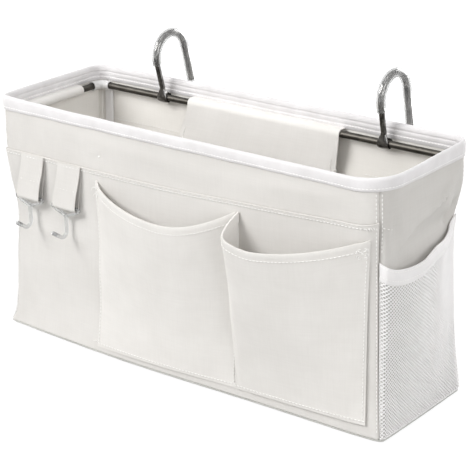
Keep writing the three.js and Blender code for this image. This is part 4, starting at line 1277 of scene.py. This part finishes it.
def makeHook(label, x, lean, sleeveStart, body):
    tipZ, tip, rounding = hook["stem"] - hook["return"], hook["tipShare"], hook["tipRound"]
    piece = startRound("hook" + label, hook["radius"] * tip, hook["sides"], (0, 2 * hook["arch"], tipZ))
    pull(0, 0, rounding)
    taper(1 / tip, 1 / tip, 1, (0, 2 * hook["arch"], tipZ + rounding))
    archOver(-rounding, hook["footTop"])
    y, z, wide, thick = 0, hook["footTop"], hook["radius"], hook["radius"]
    for nextY, nextZ, nextWide, nextThick in hook["foot"]:
        pull(0, nextY - y, nextZ - z)
        taper(nextWide / wide, nextThick / thick, 1, (0, nextY, nextZ))
        y, z, wide, thick = nextY, nextZ, nextWide, nextThick
    swing(hook["curlTurn"], 40, (0, 0, 0), (1, 0, 0))
    endRound()
    standUp(piece, x, lean)
    dress(piece, steel, body, "hook_steel", body)

    start = (0, 2 * hook["arch"], tipZ - hook["overhang"])
    sleeve = startRound("sleeve" + label, hook["sleeve"], hook["sides"], start, filled=False)
    archOver(hook["overhang"], sleeveStart)
    endRound()
    applied(sleeve, "SOLIDIFY", thickness=hook["sleeveWall"] * mm, offset=-1)
    softEdges(sleeve, hook["sleeveEdge"], 2, 50)
    standUp(sleeve, x, lean)
    dress(sleeve, clearSleeve, body, "clear_guard", body + "_guard")


for label, (x, lean, sleeveStart) in hook["places"].items():
    makeHook(label, x, lean, sleeveStart, "hook_" + label.lower())
print("hooks hung")


# loose thread ends

threadEnd = {"radius": 0.22, "sides": 6}
threadEnds = {  # where each comes out of its seam, and its way from there
    "threadEndPocket": (leftOuter(0.05, 0.99), [(-2.4, -1.2, 1.6), (-4.4, -1.6, 0.4), (-5.6, -1.5, -2)]),
    "threadEndCorner": (leftOuter(0.03, 0.95), [(-2.2, -1.0, -1.0), (-3.6, -1.1, -3.0)]),
    "threadEndFlap": (backFlap(0.01, 0.3), [(1.4, -1.2, 1.6), (3.4, -1.6, 2.4), (4.8, -1.4, 0.6)]),
    "threadEndFray": (backFlap(0.015, 0.34), [(1.8, -0.9, -0.4), (3.6, -1.2, 0.5), (5.2, -1.0, -0.8)]),
    "threadEndFoot": (leftOuter(0.012, 0.022), [(-3.2, -0.9, 2.0), (-6.2, -0.8, 0.9)]),
}
for name, (start, way) in threadEnds.items():
    path = splineOf([start, *(start + Vector(step) for step in way)])
    spots = [path(t) for t in evenly(12)]
    piece = startRound(name, threadEnd["radius"], threadEnd["sides"], spots[0], (0, 90, 0))
    for a, b in zip(spots, spots[1:]):
        pull(*(b - a))
    endRound()
    dress(piece, thread, "bag", "tape", angle=180)
print("thread ends left")


# stage: floor, light and camera

stage = {
    "floor": 9.0, "drop": 0.0008, "white": 1.3, "shadowShare": 0.33, "reach": 1.8,
    "tone": (0.5, 0.5, 0.495, 1), "skyLight": 0.34, "aim": (0, 0, 0.11),
}
deselect()
bpy.ops.mesh.primitive_plane_add(size=stage["floor"], location=(0, 0, -stage["drop"]))
floor = named("floor")
floorMaterial = bpy.data.materials.new("paleFloor")
floorMaterial.use_nodes = True
floorTree = floorMaterial.node_tree
floorTree.nodes.clear()


def seenDirectly(tree):  # camera, mirror and glass rays
    path = addNode(tree, "LightPath").outputs
    mirrored = math2(tree, "MAXIMUM", path["Is Glossy Ray"], path["Is Transmission Ray"])
    return math2(tree, "MAXIMUM", path["Is Camera Ray"], mirrored)


glow = addNode(floorTree, "Emission", {"Color": (1, 1, 1, 1), "Strength": stage["white"]})
matte = addNode(floorTree, "BsdfDiffuse", {"Color": stage["tone"]})
spot = addNode(floorTree, "TexCoord").outputs["Object"]
spread = addNode(floorTree, "Mapping", {"Vector": spot, "Scale": [1 / stage["reach"]] * 3})
near = addNode(floorTree, "TexGradient", {0: spread.outputs[0]}, gradient_type="SPHERICAL")
shadowed = math2(floorTree, "MULTIPLY", near.outputs["Fac"], stage["shadowShare"])
share = math2(floorTree, "MULTIPLY", seenDirectly(floorTree), math2(floorTree, "SUBTRACT", 1.0, shadowed))
blend = addNode(floorTree, "MixShader", {0: share, 1: matte.outputs[0], 2: glow.outputs[0]})
addNode(floorTree, "OutputMaterial", {"Surface": blend.outputs[0]})
floor.data.materials.append(floorMaterial)
floor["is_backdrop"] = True

world = bpy.data.worlds.new("studio")
bpy.context.scene.world = world
world.use_nodes = True
sky = world.node_tree
background = sky.nodes["Background"]
skyLevel = addNode(sky, "MapRange", {0: seenDirectly(sky), 1: 0.0, 2: 1.0, 3: stage["skyLight"], 4: 1.0})
background.inputs["Color"].default_value = (1, 1, 1, 1)
sky.links.new(skyLevel.outputs[0], background.inputs["Strength"])

lamps = {
    "keyLamp": {"place": (-1.4, -1.95, 1.75), "size": 1.5, "power": 72},
    "fillLamp": {"place": (1.9, -0.6, 1.0), "size": 1.6, "power": 22},
    "topLamp": {"place": (-0.1, -0.3, 2.3), "size": 1.4, "power": 10},
    "backLamp": {"place": (0.3, 2.2, 0.7), "size": 1.5, "power": 30},
}
for name, lamp in lamps.items():
    data = bpy.data.lights.new(name, "AREA")
    data.size, data.energy = lamp["size"], lamp["power"]
    light = link(bpy.data.objects.new(name, data))
    light.location = lamp["place"]
    light.rotation_euler = (Vector(stage["aim"]) - light.location).to_track_quat("-Z", "Y").to_euler()

view = {"place": (0.8133222, -1.0325137, 0.611446), "turn": (69.19609, 0.57855, 37.66679), "lens": 124.02}
cameraData = bpy.data.cameras.new("camera")
cameraData.lens, cameraData.sensor_width = view["lens"], 36
cameraData.clip_start, cameraData.clip_end = 0.05, 30
camera = link(bpy.data.objects.new("camera", cameraData))
camera.location = view["place"]
camera.rotation_euler = [radians(a) for a in view["turn"]]
bpy.context.scene.camera = camera
bpy.context.scene.view_settings.view_transform = "Standard"
print("stage lit")

bpy.context.view_layer.update()
low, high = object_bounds()
{"cad": [list(cadLow), list(cadHigh)], "visual": [list(low), list(high)]}
print("visual box", [round(v, 4) for v in low], [round(v, 4) for v in high])
